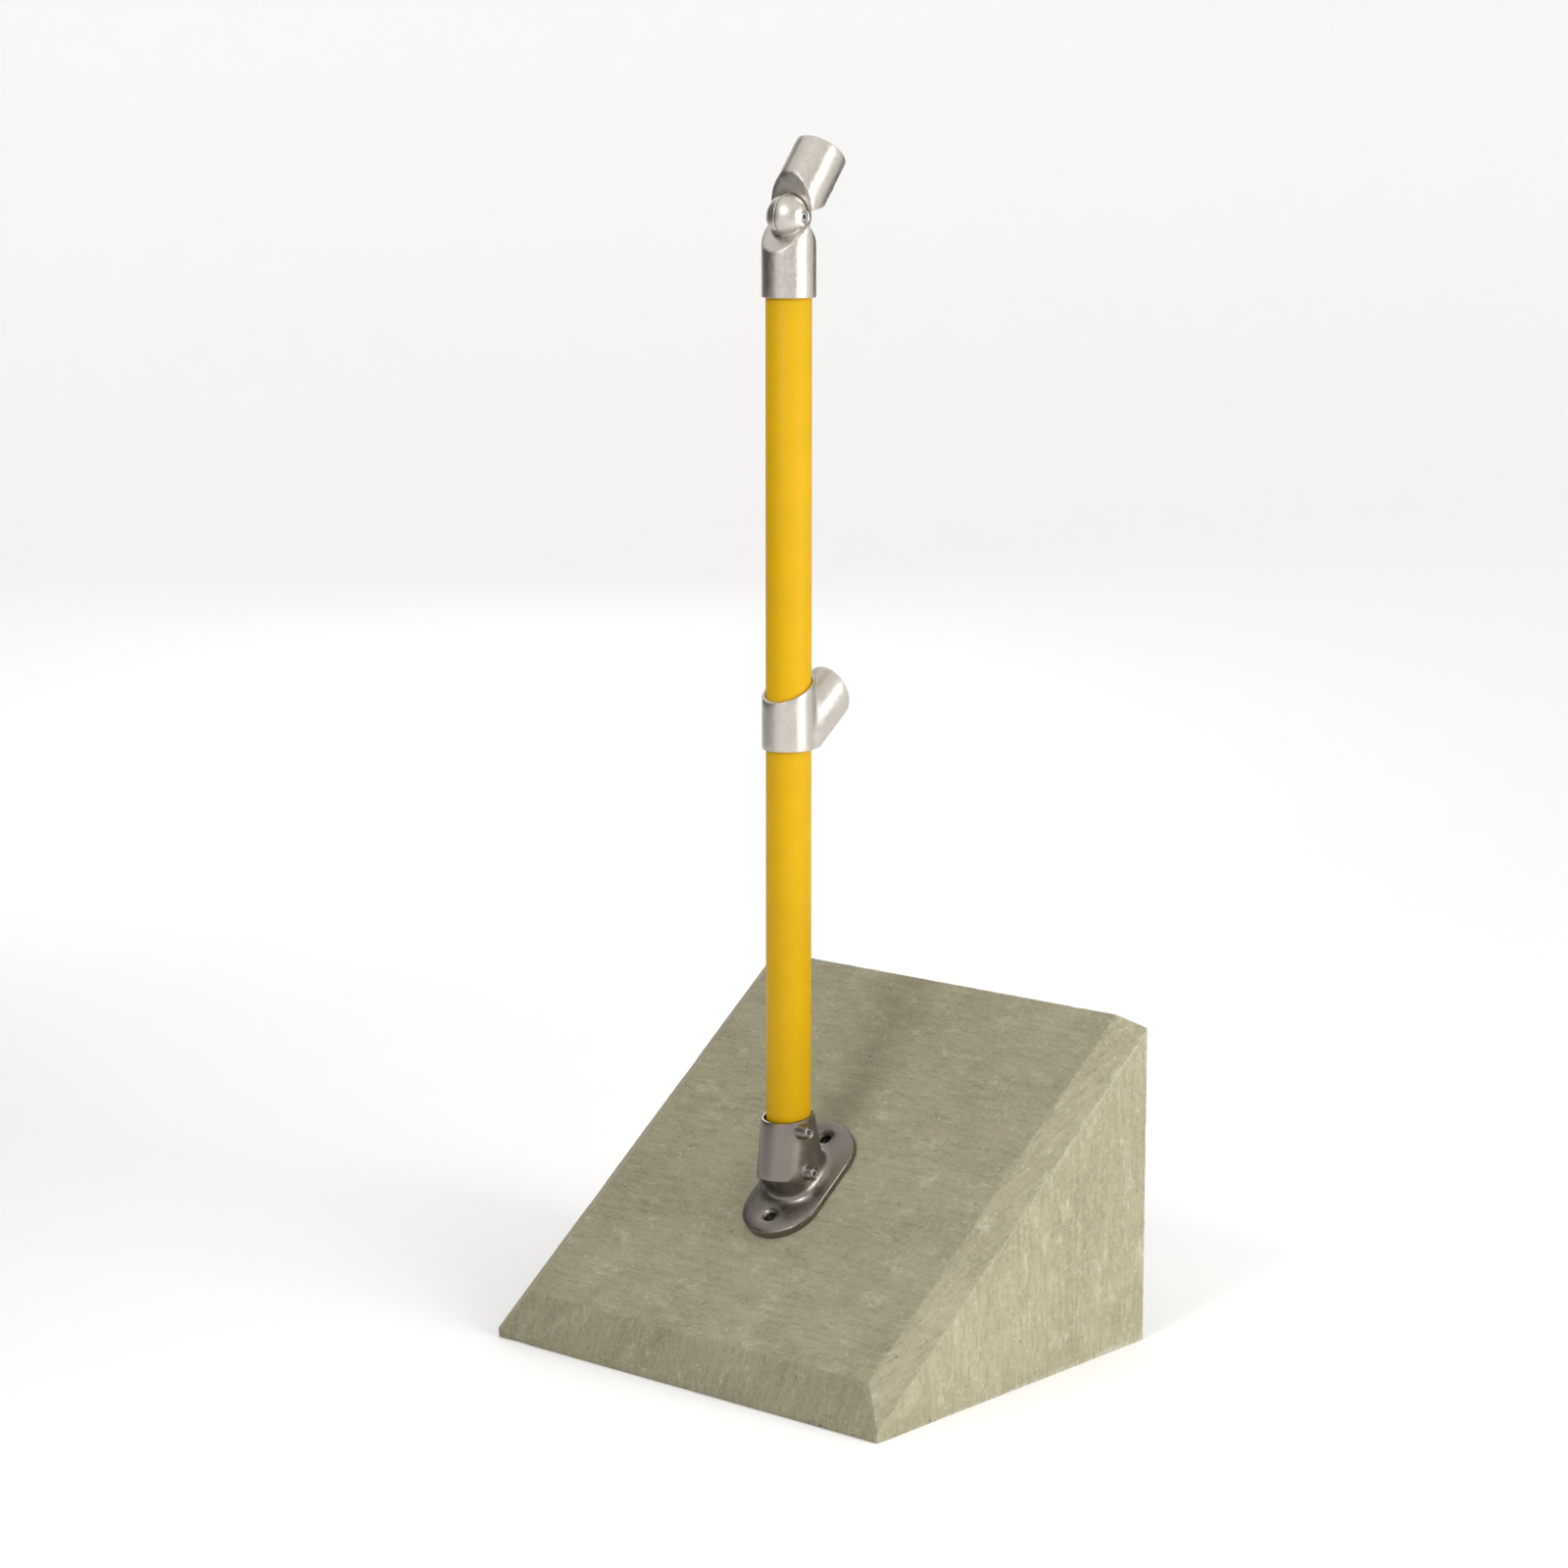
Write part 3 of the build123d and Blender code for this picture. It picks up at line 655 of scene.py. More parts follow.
class Skin:
    """Collects patches with the direction of their form streaks and their painted shade."""

    def __init__(self):
        self.points = []
        self.faces = []
        self.form = []
        self.painted_shades = []
        self.count = 0

    def add(self, points, faces, streak, tone):
        """Adds faces with their painted shade as tone; the first pattern coordinate runs along the streaks,
        in metres.
        """
        points = np.asarray(points).reshape(-1, 3)
        corners = [points[i] for i in faces[0]]
        first, second, third = (corners[i * len(corners) // 3] for i in range(3))
        normal = np.cross(second - first, third - first)
        normal = normal / np.linalg.norm(normal)
        streak = np.asarray(streak, float)
        streak = streak - normal * streak.dot(normal)
        streak = streak / np.linalg.norm(streak)
        across = np.cross(normal, streak)
        shift = 1.7 * len(self.painted_shades)
        for face in faces:
            self.faces.append(tuple(int(i) + self.count for i in face))
            self.form.extend((points[i].dot(streak) + shift, points[i].dot(across)) for i in face)
        self.painted_shades.append((len(faces), tone))
        self.points.append(points)
        self.count += len(points)

    def mesh(self, name):
        """The mesh with its form streak map and its tone map of painted shade, joined along the shared edges.
        """
        mesh = mesh_from(name, np.concatenate(self.points), self.faces)
        form = mesh.uv_layers.new(name="form")
        form.data.foreach_set("uv", np.array(self.form, np.float32).ravel())
        painted_shades = np.concatenate([np.full(count, tone) for count, tone in self.painted_shades])
        sizes = [len(face) for face in self.faces]
        per_corner = np.repeat(painted_shades, sizes)
        painted_shade_map = mesh.uv_layers.new(name="tone")
        painted_shade_map.data.foreach_set("uv", np.stack([per_corner, per_corner], 1).astype(np.float32).ravel())
        return mesh


def anchor_places():
    """The two points on the slope that the base's holes are centred on."""
    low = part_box("concrete_block")[0]
    toe = np.array((0.0, low.y, TOE_HEIGHT))
    run = (POST_Y - low.y) / cos(SLOPE) + PLATE_SHIFT
    return {
        "lower": toe + ALONG * (run - BOLT_SPACING / 2),
        "upper": toe + ALONG * (run + BOLT_SPACING / 2)}


def drill(skin, points, faces, place, radius, depth):
    """Takes the cells round one anchor out of the slope's grid and lines the round hole instead."""
    reach = 4
    rows, columns = points.shape[:2]
    distance = np.linalg.norm(points - place, axis=2)
    row, column = np.unravel_index(np.argmin(distance), distance.shape)
    top, bottom, left, right = row + reach, row - reach, column - reach, column + reach
    loop = [(bottom, i) for i in range(left, right)] + [(i, right) for i in range(bottom, top)]
    loop += [(top, i) for i in range(right, left, -1)] + [(i, left) for i in range(top, bottom, -1)]
    outer = np.array([points[i, j] for i, j in loop])
    arms = outer - place
    rim = place + arms / np.linalg.norm(arms, axis=1)[:, None] * radius
    rings = [outer, rim, rim - NORMAL * depth]
    # Painted shade in the hole: its lining is darkened like the underside, and its floor is darker still.
    skin.add(np.concatenate(rings), join_rows(len(rings), len(loop)), (1, 0, 0), UNDER_PAINTED_SHADE)
    skin.add(rings[2], [tuple(range(len(loop)))], (1, 0, 0), 0.7)
    corners = faces.reshape(rows - 1, columns - 1, 4)
    keep = np.ones(corners.shape[:2], bool)
    keep[bottom:top, left:right] = False
    return keep.ravel()


def side_patches(corners):
    """Each side's name, with the corners of its bevel and of its wall."""
    inner, outer, foot = corners
    for side, name in enumerate(SIDES):
        after = (side + 1) % 4
        bevel = (outer[side], outer[after], inner[after], inner[side])
        yield name, bevel, (foot[side], foot[after], outer[after], outer[side])


def block_skin(settings):
    """The block's faces as patches that share their edges, with a hole for each anchor."""
    corners = block_corners(settings)
    inner, _, foot = corners
    wide, deep, tall, rim = 160, 178, 40, 8
    skin = Skin()
    slope = grid(inner, wide, deep)
    faces = grid_faces(wide, deep)
    keep = np.ones(len(faces), bool)
    for place in anchor_places().values():
        keep &= drill(skin, slope, faces, place, ANCHOR_RADIUS, ANCHOR_DEPTH)
    skin.add(slope, faces[keep], (1, 0, 0), SLOPE_PAINTED_SHADE)
    under = []
    for side, (name, bevel, wall) in enumerate(side_patches(corners)):
        steps = deep if side % 2 else wide
        # Painted shade of the wall and of the bevel, lighter on the faces that get more light.
        tone, bevel_painted_shade, bevel_streaks = SIDES[name]
        skin.add(grid(bevel, steps, rim), grid_faces(steps, rim), bevel_streaks, bevel_painted_shade)
        skin.add(grid(wall, steps, tall), grid_faces(steps, tall), (0, 0, 1), tone)
        s = np.linspace(0, 1, steps + 1)[:-1, None]
        under.append(foot[side] * (1 - s) + foot[(side + 1) % 4] * s)
    under = np.concatenate(under)
    skin.add(under, [tuple(range(len(under) - 1, -1, -1))], (1, 0, 0), UNDER_PAINTED_SHADE)
    return skin


def block_planes(settings):
    """Outward normals and offsets of the block's flat faces."""
    corners = block_corners(settings)
    planes = [(NORMAL, NORMAL.dot(corners[0][0])), (np.array((0, 0, -1.0)), 0.0)]
    for _, *patches in side_patches(corners):
        for a, b, c, _ in patches:
            normal = np.cross(b - a, c - a)
            normal = normal / np.linalg.norm(normal)
            planes.append((normal, normal.dot(a)))
    return np.array([p[0] for p in planes]), np.array([p[1] for p in planes])


def pit_places(settings, rng):
    """Middles and radii of the air pits, spread over the block's visible faces."""
    corners = block_corners(settings)
    faces = [(corners[0], 0.42)]
    for _, bevel, wall in side_patches(corners):
        faces += [(wall, 0.12), (bevel, 0.025)]
    shares = np.array([share for _, share in faces])
    places = []
    for _ in range(settings.pits):
        patch = faces[rng.choice(len(faces), p=shares / shares.sum())][0]
        s, t = rng.uniform(0.03, 0.97, 2)
        middle = between(patch, s, t)
        places.append((middle, rng.uniform(*PIT_RADII)))
    return places


def refine_near(mesh, places):
    """Cuts the cells finer round each pit, so that it comes out round."""
    with editing(mesh) as work:
        middles = np.array([face.calc_center_median() for face in work.faces])
        sizes = np.array([len(face.verts) for face in work.faces])
        near = np.zeros(len(middles), bool)
        for middle, radius in places:
            near |= np.linalg.norm(middles - middle, axis=1) < radius + PIT_MARGIN
        work.faces.ensure_lookup_table()
        chosen = {e for i in np.nonzero(near & (sizes == 4))[0] for e in work.faces[i].edges}
        bmesh.ops.subdivide_edges(work, edges=list(chosen), cuts=4, use_grid_fill=True)


def weather_block(mesh, settings, places):
    """Rubs and chips the edges, sinks the pits and gives the faces a faint unevenness."""
    normals, offsets = block_planes(settings)
    points = arrays(mesh)[0]
    depth = np.abs(points @ normals.T - offsets)
    order = np.sort(depth, axis=1)
    on_skin = order[:, 0] < 1e-5
    edge = order[:, 1]
    own = normals[np.argmin(depth, axis=1)]
    broad = np.array([noise.noise(Vector(p) * 19) for p in points])
    fine = np.array([noise.noise(Vector(p) * 140 + Vector((7, 3, 1))) for p in points])
    chip = np.clip((broad - 0.40) / 0.25, 0, 1) * (0.55 + 0.45 * np.abs(fine) * 2)
    reach = settings.arris_wear * (1 + 0.9 * fine) + settings.chip_depth * chip
    fade = np.clip(1 - edge / (reach * WEAR_SPREAD + 1e-9), 0, 1) ** 1.4
    close = (depth < np.maximum(reach * WEAR_SPREAD, 2e-4)[:, None]).astype(float)
    inward = close @ normals
    inward /= np.maximum(np.linalg.norm(inward, axis=1), 1e-9)[:, None]
    moved = points - inward * (reach * fade * on_skin)[:, None]
    quiet = np.clip(edge / 0.01, 0, 1) * on_skin * (points[:, 2] > 0.0005)
    moved -= own * ((0.00018 * (broad + 0.6) + 0.00006 * (fine + 0.6)) * quiet)[:, None]
    for middle, radius in places:
        away = np.linalg.norm(points - middle, axis=1)
        sink = np.sqrt(np.clip(1 - (away / radius) ** 2, 0, 1)) * radius * 0.9
        moved -= own * (sink * on_skin)[:, None]
    move_points(mesh, moved)


# ---------------------------------------------------------------- castings
def neighbour_mean(values, edges, shares):
    """The mean of each point's neighbours."""
    out = np.empty_like(values)
    ends, others = np.concatenate((edges, edges[:, ::-1])).T
    for axis in range(values.shape[1]):
        out[:, axis] = np.bincount(ends, values[others, axis], minlength=len(values))
    return out / shares[:, None]


def fill_corners(mesh, steps):
    """Rounds the inward corners near a casting's plate into broad fillets and leaves its outward edges."""
    points, normals = arrays(mesh)
    edges = edge_ends(mesh)
    shares = np.maximum(np.bincount(edges.ravel(), minlength=len(points)), 1)
    pull = neighbour_mean(points, edges, shares) - points
    hollow = np.clip((pull * normals).sum(1, keepdims=True) / HOLLOW_PULL, 0, 1)
    for _ in range(FILLET_RINGS):
        hollow = np.maximum(hollow, neighbour_mean(hollow, edges, shares))
    hollow = np.clip(hollow * 2.5, 0, 1)
    for _ in range(3 * FILLET_RINGS):
        hollow = neighbour_mean(hollow, edges, shares)
    height = points @ NORMAL
    hollow *= np.clip((height.min() + FILLET_LIMIT - height) / FILLET_FADE, 0, 1)[:, None]
    for _ in range(steps):
        points += 0.5 * hollow * (neighbour_mean(points, edges, shares) - points)
    move_points(mesh, points)


def even_shading(mesh):
    """Evens the shading of a casting's broad faces and keeps its edges."""
    normals = arrays(mesh)[1]
    first, second = edge_ends(mesh).T
    for _ in range(SHADING_ROUNDS):
        likeness = (normals[first] * normals[second]).sum(1)
        weight = np.exp((likeness - 1) / SHADING_CONTRAST)
        total = normals.copy()
        for axis in range(3):
            for here, there in ((first, second), (second, first)):
                total[:, axis] += np.bincount(here, weight * normals[there, axis], minlength=len(normals))
        normals = total / np.linalg.norm(total, axis=1, keepdims=True)
    mesh.normals_split_custom_set_from_vertices([tuple(normal) for normal in normals])


def cast_copy(node, name, settings, material, fillet_steps=0):
    """A casting's solid with softened edges and the faint ripple of its skin."""
    mesh = frame["nodes"][node].data.copy()
    with editing(mesh):
        blank = add_object("blank", mesh)
    remesh = blank.modifiers.new("cells", "REMESH")
    remesh.mode = "VOXEL"
    remesh.voxel_size = settings.base_voxel if fillet_steps else settings.voxel
    smooth = blank.modifiers.new("soften", "SMOOTH")
    smooth.factor = 0.5
    smooth.iterations = settings.rounding
    bpy.context.view_layer.update()
    mesh = baked(blank, name)
    if fillet_steps:
        fill_corners(mesh, fillet_steps)
    points, normals = arrays(mesh)
    height = np.array([noise.noise(Vector(p) * RIPPLE_SCALE) for p in points])
    points -= normals * (settings.ripple * (height * 0.8 + 0.5))[:, None]
    move_points(mesh, points)
    finish_mesh(mesh, material, 60.0)
    even_shading(mesh)
    return add_object(name, mesh)


# ---------------------------------------------------------------- screws
def threaded_rod(radius, low, high, pitch, depth, segments):
    """Points of rows up a rod whose surface follows a true helix, fading out at both ends."""
    rows = max(int((high - low) / pitch * 8), 2)
    points = []
    for row in range(rows + 1):
        height = low + (high - low) * row / rows
        fade = max(min(1.0, (height - low) / pitch, (high - height) / pitch), 0.0)
        phases = [(height / pitch - step / segments) % 1.0 for step in range(segments)]
        points += turned([radius - depth * abs(phase * 2 - 1) * fade for phase in phases], height)
    return points


def hex_radii(flats, segments):
    """Distances to a hexagon's walls, one for each segment."""
    turns = [(2 * pi * step / segments + pi / 6) % (pi / 3) - pi / 6 for step in range(segments)]
    return [flats / 2 / cos(turn) for turn in turns]


def socket_points(height, edge_radius, flats, depth, segments):
    """Points of rows from a screw's flat end down into its hexagon socket."""
    shape = hex_radii(flats, segments)
    rows = (
        ([edge_radius] * segments, height), ([value + 0.0003 for value in shape], height),
        (shape, height - 0.0003), (shape, height - depth),
        ([value * 0.5 for value in shape], height - depth - 0.0004))
    return [point for radii, level in rows for point in turned(radii, level)]


def set_screw_mesh(name, length, radius, pitch, flats, depth):
    """A socket set screw standing on its tip, with a helical thread and a cone point."""
    segments = 42
    cone = [(radius * 0.45, 0.0), (radius * 0.5, 0.0), (radius * 0.88, radius * 0.42)]
    points = lathe(cone, segments)[0]
    points += threaded_rod(radius, radius * 0.5, length - 0.0006, pitch, depth, segments)
    points += socket_points(length, radius - 0.0006, flats, length * 0.4, segments)
    return capped(name, points, segments)


def cap_screw_mesh(name, shank_start, head_start, head_end, radius, head_radius, depth):
    """The pivot bolt along +Z: threaded shank, smooth neck and a socket head with a softened rim."""
    segments, thread, pitch, flats, socket = 48, 0.022, 0.00125, 0.005, 0.005
    points = threaded_rod(radius, shank_start, shank_start + thread, pitch, depth, segments)
    profile = [
        (radius, head_start - 0.0004), (head_radius - 0.0003, head_start),
        (head_radius, head_start + 0.0003), (head_radius, head_end - 0.0006),
        (head_radius - 0.0002, head_end - 0.0002)]
    points += lathe(profile, segments)[0]
    points += socket_points(head_end, head_radius - 0.0006, flats, socket, segments)
    return capped(name, points, segments)


def nut_mesh(name, low, high, flats, bore):
    """A hexagon nut with rounded-off corners on both faces, along +Z."""
    segments, ease, chamfer = 72, 0.0004, 0.0006
    shape = hex_radii(flats, segments)
    cut = [min(value, flats / 2 + 0.00015) for value in shape]
    hole, mouth = [bore] * segments, [bore + ease] * segments
    rows = (
        (hole, low + ease), (mouth, low), (cut, low), (shape, low + chamfer),
        (shape, high - chamfer), (cut, high), (mouth, high), (hole, high - ease))
    points = [point for radii, level in rows for point in turned(radii, level)]
    return mesh_from(name, points, join_rows(len(rows), segments, closed=True))


# ---------------------------------------------------------------- geometry nodes
class Sockets:
    """Builds one Geometry Nodes tree with named inputs."""

    def __init__(self, name, inputs):
        self.tree = bpy.data.node_groups.new(name, "GeometryNodeTree")
        self.ids = {}
        face = self.tree.interface
        face.new_socket("Geometry", in_out="INPUT", socket_type="NodeSocketGeometry")
        for label, kind, value in inputs:
            socket = face.new_socket(label, in_out="INPUT", socket_type=kind)
            if value is not None:
                socket.default_value = value
            self.ids[label] = socket.identifier
        face.new_socket("Geometry", in_out="OUTPUT", socket_type="NodeSocketGeometry")
        self.builder = Builder(self.tree)
        self.given = self.builder.add("NodeGroupInput").outputs

    def end(self, geometry):
        """Realizes, sets the material and joins the output."""
        real = self.builder.add("GeometryNodeRealizeInstances", {0: geometry})
        dressed = self.builder.add("GeometryNodeSetMaterial", {
            "Geometry": real.outputs[0], "Material": self.given["Material"]})
        self.builder.add("NodeGroupOutput", {0: dressed.outputs[0]})

    def apply(self, piece, values, name):
        """Runs the tree on an object with these inputs and returns the plain mesh."""
        modifier = piece.modifiers.new("nodes", "NODES")
        modifier.node_group = self.tree
        for label, value in values.items():
            modifier[self.ids[label]] = value
        bpy.context.view_layer.update()
        return baked(piece, name)


def ribbed_bar_tree():
    """Round bar along a wire, with slanting ribs at an even pitch."""
    sockets = Sockets("Ribbed Bar", [
        ("Bar Radius", FLOAT, 0.005), ("Rib Pitch", FLOAT, 0.007), ("Rib Height", FLOAT, 0.0005),
        ("Material", "NodeSocketMaterial", None)])
    b, given = sockets.builder, sockets.given
    line = b.add("GeometryNodeMeshToCurve", {0: given["Geometry"]}).outputs[0]
    circle = b.add("GeometryNodeCurvePrimitiveCircle", {"Resolution": 14, "Radius": given["Bar Radius"]})
    core = b.add("GeometryNodeCurveToMesh", {0: line, 1: circle.outputs[0], "Fill Caps": True})
    places = b.add("GeometryNodeCurveToPoints", {0: line, "Length": given["Rib Pitch"]}, mode="LENGTH")
    rib_line = b.add("GeometryNodeCurvePrimitiveCircle", {"Resolution": 14, "Radius": given["Bar Radius"]})
    section = b.add("GeometryNodeCurvePrimitiveCircle", {"Resolution": 5, "Radius": given["Rib Height"]})
    rib = b.add("GeometryNodeCurveToMesh", {0: rib_line.outputs[0], 1: section.outputs[0]})
    slant = b.add("FunctionNodeRotateRotation", {
        "Rotation": places.outputs["Rotation"], "Rotate By": (0.5, 0.0, 0.0)})
    slant.rotation_space = "LOCAL"
    ribs = b.add("GeometryNodeInstanceOnPoints", {
        "Points": places.outputs["Points"], "Instance": rib.outputs[0], "Rotation": slant.outputs[0]})
    both = b.add("GeometryNodeJoinGeometry", {0: core.outputs[0]})
    b.join(ribs.outputs[0], both.inputs[0])
    sockets.end(both.outputs[0])
    return sockets


def knurl_tree():
    """Straight ridges set evenly round a cylinder."""
    sockets = Sockets("Knurled Band", [
        ("Count", "NodeSocketInt", 36), ("Radius", FLOAT, 0.0054), ("Length", FLOAT, 0.006),
        ("Level", FLOAT, 0.017), ("Material", "NodeSocketMaterial", None)])
    b, given = sockets.builder, sockets.given
    ring = b.add("GeometryNodeMeshCircle", {"Vertices": given["Count"], "Radius": given["Radius"]})
    lift = b.add("ShaderNodeCombineXYZ", {2: given["Level"]})
    raised = b.add("GeometryNodeTransform", {"Geometry": ring.outputs[0], "Translation": lift.outputs[0]})
    outward = b.add("GeometryNodeInputPosition").outputs[0]
    flat = b.add("ShaderNodeVectorMath", {0: outward, 1: (1.0, 1.0, 0.0)}, operation="MULTIPLY").outputs[0]
    facing = b.add("FunctionNodeAlignRotationToVector", {"Vector": flat}, axis="X").outputs[0]
    size = b.add("ShaderNodeCombineXYZ", {0: 0.0002, 1: 0.0004, 2: given["Length"]})
    ridge = b.add("GeometryNodeMeshCube", {"Size": size.outputs[0]})
    ridges = b.add("GeometryNodeInstanceOnPoints", {
        "Points": raised.outputs[0], "Instance": ridge.outputs[0], "Rotation": facing})
    both = b.add("GeometryNodeJoinGeometry", {0: given["Geometry"]})
    b.join(ridges.outputs[0], both.inputs[0])
    sockets.end(both.outputs[0])
    return sockets


# ---------------------------------------------------------------- reinforcement routes
def rounded_route(corners, radius, steps):
    """A closed route in the side view with its corners rounded by arcs."""
    route = []
    count = len(corners)
    for i, corner in enumerate(corners):
        before = (corners[i - 1] - corner).normalized()
        after = (corners[(i + 1) % count] - corner).normalized()
        half = before.angle(after) / 2
        start = corner + before * (radius / tan(half))
        end = corner + after * (radius / tan(half))
        centre = corner + (before + after).normalized() * (radius / sin(half))
        for step in range(steps + 1):
            arm = (start - centre).lerp(end - centre, step / steps)
            route.append(centre + arm.normalized() * radius)
    return route


def stirrup_corners():
    """Corners of a stirrup's centre line, as (y, z)."""
    low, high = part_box("stirrups")
    bar, cover, nose = 0.004, 0.044, 0.032
    block_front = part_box("concrete_block")[0].y
    back_y, floor = high.y - bar, low.z + bar
    lift = cover / cos(SLOPE)
    back_z = TOE_HEIGHT + (back_y - block_front) * tan(SLOPE) - lift
    front_y = (cover + lift + nose - TOE_HEIGHT) / tan(SLOPE) + block_front
    places = ((front_y, floor), (back_y, floor), (back_y, back_z), (front_y, floor + nose))
    return [Vector(place) for place in places]


def wire_object(name, lines):
    """An object of loose edges, each line closed or open."""
    points, edges = [], []
    for line, closed in lines:
        start = len(points)
        points += [tuple(p) for p in line]
        edges += [(start + i, start + i + 1) for i in range(len(line) - 1)]
        if closed:
            edges.append((start + len(line) - 1, start))
    mesh = bpy.data.meshes.new(name)
    mesh.from_pydata(points, edges, [])
    return add_object(name, mesh)


# ---------------------------------------------------------------- operators
class WEDGE_OT_concrete(bpy.types.Operator):
    """Builds the weathered concrete wedge"""
    bl_idname = "wedge.concrete"
    bl_label = "Concrete Block"

    def execute(self, context):
        settings = context.scene.wedge_concrete
        rng = np.random.default_rng(11)
        places = pit_places(settings, rng)
        mesh = block_skin(settings).mesh("concrete_wedge")
        refine_near(mesh, places)
        weather_block(mesh, settings, places)
        finish_mesh(mesh, concrete_material(settings.colour), 28.0)
        attach(add_object("concrete_wedge", mesh), "block", "concrete_block")
        return {"FINISHED"}


class WEDGE_OT_reinforcement(bpy.types.Operator):
    """Builds the ribbed bars and stirrups inside the block"""
    bl_idname = "wedge.reinforcement"
    bl_label = "Reinforcement"

    def execute(self, context):
        settings = context.scene.wedge_steel
        tree = ribbed_bar_tree()
        material = rebar_material()
        loop = rounded_route(stirrup_corners(), BEND_RADIUS, 6)
        loops = [([(x, p.x, p.y) for p in loop], True) for x in STIRRUP_PLACES]
        low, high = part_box("long_bars")
        bars = [([(low.x, y, z), (high.x, y, z)], False) for y, z in self.bar_lines()]
        for name, node, lines, radius in (
                ("ribbed_stirrups", "stirrups", loops, 0.0038), ("ribbed_bars", "long_bars", bars, 0.0048)):
            values = {
                "Bar Radius": radius, "Rib Pitch": settings.rib_pitch, "Rib Height": settings.rib_height,
                "Material": material}
            mesh = tree.apply(wire_object(name + "_line", lines), values, name)
            finish_mesh(mesh, material, 50.0)
            attach(add_object(name, mesh), "block", node)
        return {"FINISHED"}

    @staticmethod
    def bar_lines():
        """Middles of the four long bars in the side view, read off the solids."""
        points = np.array([v.co for v in frame["nodes"]["long_bars"].data.vertices])
        left = points[points[:, 0] < points[:, 0].min() + 1e-4][:, 1:]
        centres = []
        while len(left):
            close = np.linalg.norm(left - left[0], axis=1) < 0.0115
            centres.append(tuple((left[close].min(0) + left[close].max(0)) / 2))
            left = left[~close]
        return centres


class WEDGE_OT_post(bpy.types.Operator):
    """Builds the coated tube"""
    bl_idname = "wedge.post"
    bl_label = "Coated Post"

    def execute(self, context):
        settings = context.scene.wedge_post
        low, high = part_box("post_tube")
        outside, inside, ease = settings.radius, settings.radius - settings.wall, 0.0005
        profile = [
            (outside - ease, low.z), (outside, low.z + ease),
            (outside, high.z - ease), (outside - ease, high.z),
            (inside + ease, high.z), (inside, high.z - ease), (inside, low.z + ease), (inside + ease, low.z)]
        points, faces = lathe(profile, 160)
        mesh = mesh_from("coated_post", points, faces)
        mesh.transform(Matrix.Translation((0, POST_Y, 0)))
        finish_mesh(mesh, coating_material(settings.colour), 50.0)
        attach(add_object("coated_post", mesh), "post", "post_tube")
        return {"FINISHED"}


class WEDGE_OT_castings(bpy.types.Operator):
    """Builds the four castings with their soft edges and skin"""
    bl_idname = "wedge.castings"
    bl_label = "Cast Fittings"

    def execute(self, context):
        settings = context.scene.wedge_castings
        bright = metal_material("bright_casting", settings.colour, 0.34, (900.0, 900.0, 700.0), 0.02, 0.02)
        dark = metal_material("base_casting", settings.base_colour, 0.32, (800.0, 800.0, 700.0), 0.04, 0.04)
        for node, name, body, material, fillet_steps in (
                ("base_flange", "base_casting", "block", dark, FILLET_STEPS),
                ("midrail_fitting", "midrail_casting", "midrail", bright, 0),
                ("lower_knuckle", "lower_knuckle_casting", "lower_knuckle", bright, 0),
                ("upper_knuckle", "upper_knuckle_casting", "upper_knuckle", bright, 0)):
            attach(cast_copy(node, name, settings, material, fillet_steps), body, node)
        return {"FINISHED"}


class WEDGE_OT_set_screws(bpy.types.Operator):
    """Builds the six socket set screws"""
    bl_idname = "wedge.set_screws"
    bl_label = "Set Screws"

    def execute(self, context):
        depth = context.scene.wedge_steel.thread_depth
        material = metal_material(
            "zinc_steel", (0.46, 0.46, 0.47), 0.26, (1500.0, 1500.0, 1500.0), 0.08, 0.05)
        upper_out = (0.0, cos(LEAN), -sin(LEAN))
        large, small = (0.00495, 0.0015, 0.005), (0.00395, 0.00125, 0.004)
        screws = {
            "base_screw_upper": ((1, 0, 0), large), "base_screw_lower": ((1, 0, 0), large),
            "midrail_post_screw": ((-1, 0, 0), small), "midrail_rail_screw": ((-1, 0, 0), small),
            "lower_knuckle_screw": ((0, 1, 0), small), "upper_knuckle_screw": (upper_out, small)}
        for node, (outward, (radius, pitch, flats)) in screws.items():
            points = np.array([v.co for v in frame["nodes"][node].data.vertices])
            out = np.array(outward)
            runs = points @ out
            middle = (points.min(0) + points.max(0)) / 2
            tip = middle + out * (runs.min() - middle.dot(out))
            name = node + "_threaded"
            mesh = set_screw_mesh(name, runs.max() - runs.min(), radius, pitch, flats, depth)
            mesh.transform(upright_to(outward, tip))
            finish_mesh(mesh, material, 35.0)
            attach(add_object(name, mesh), node, node)
        return {"FINISHED"}


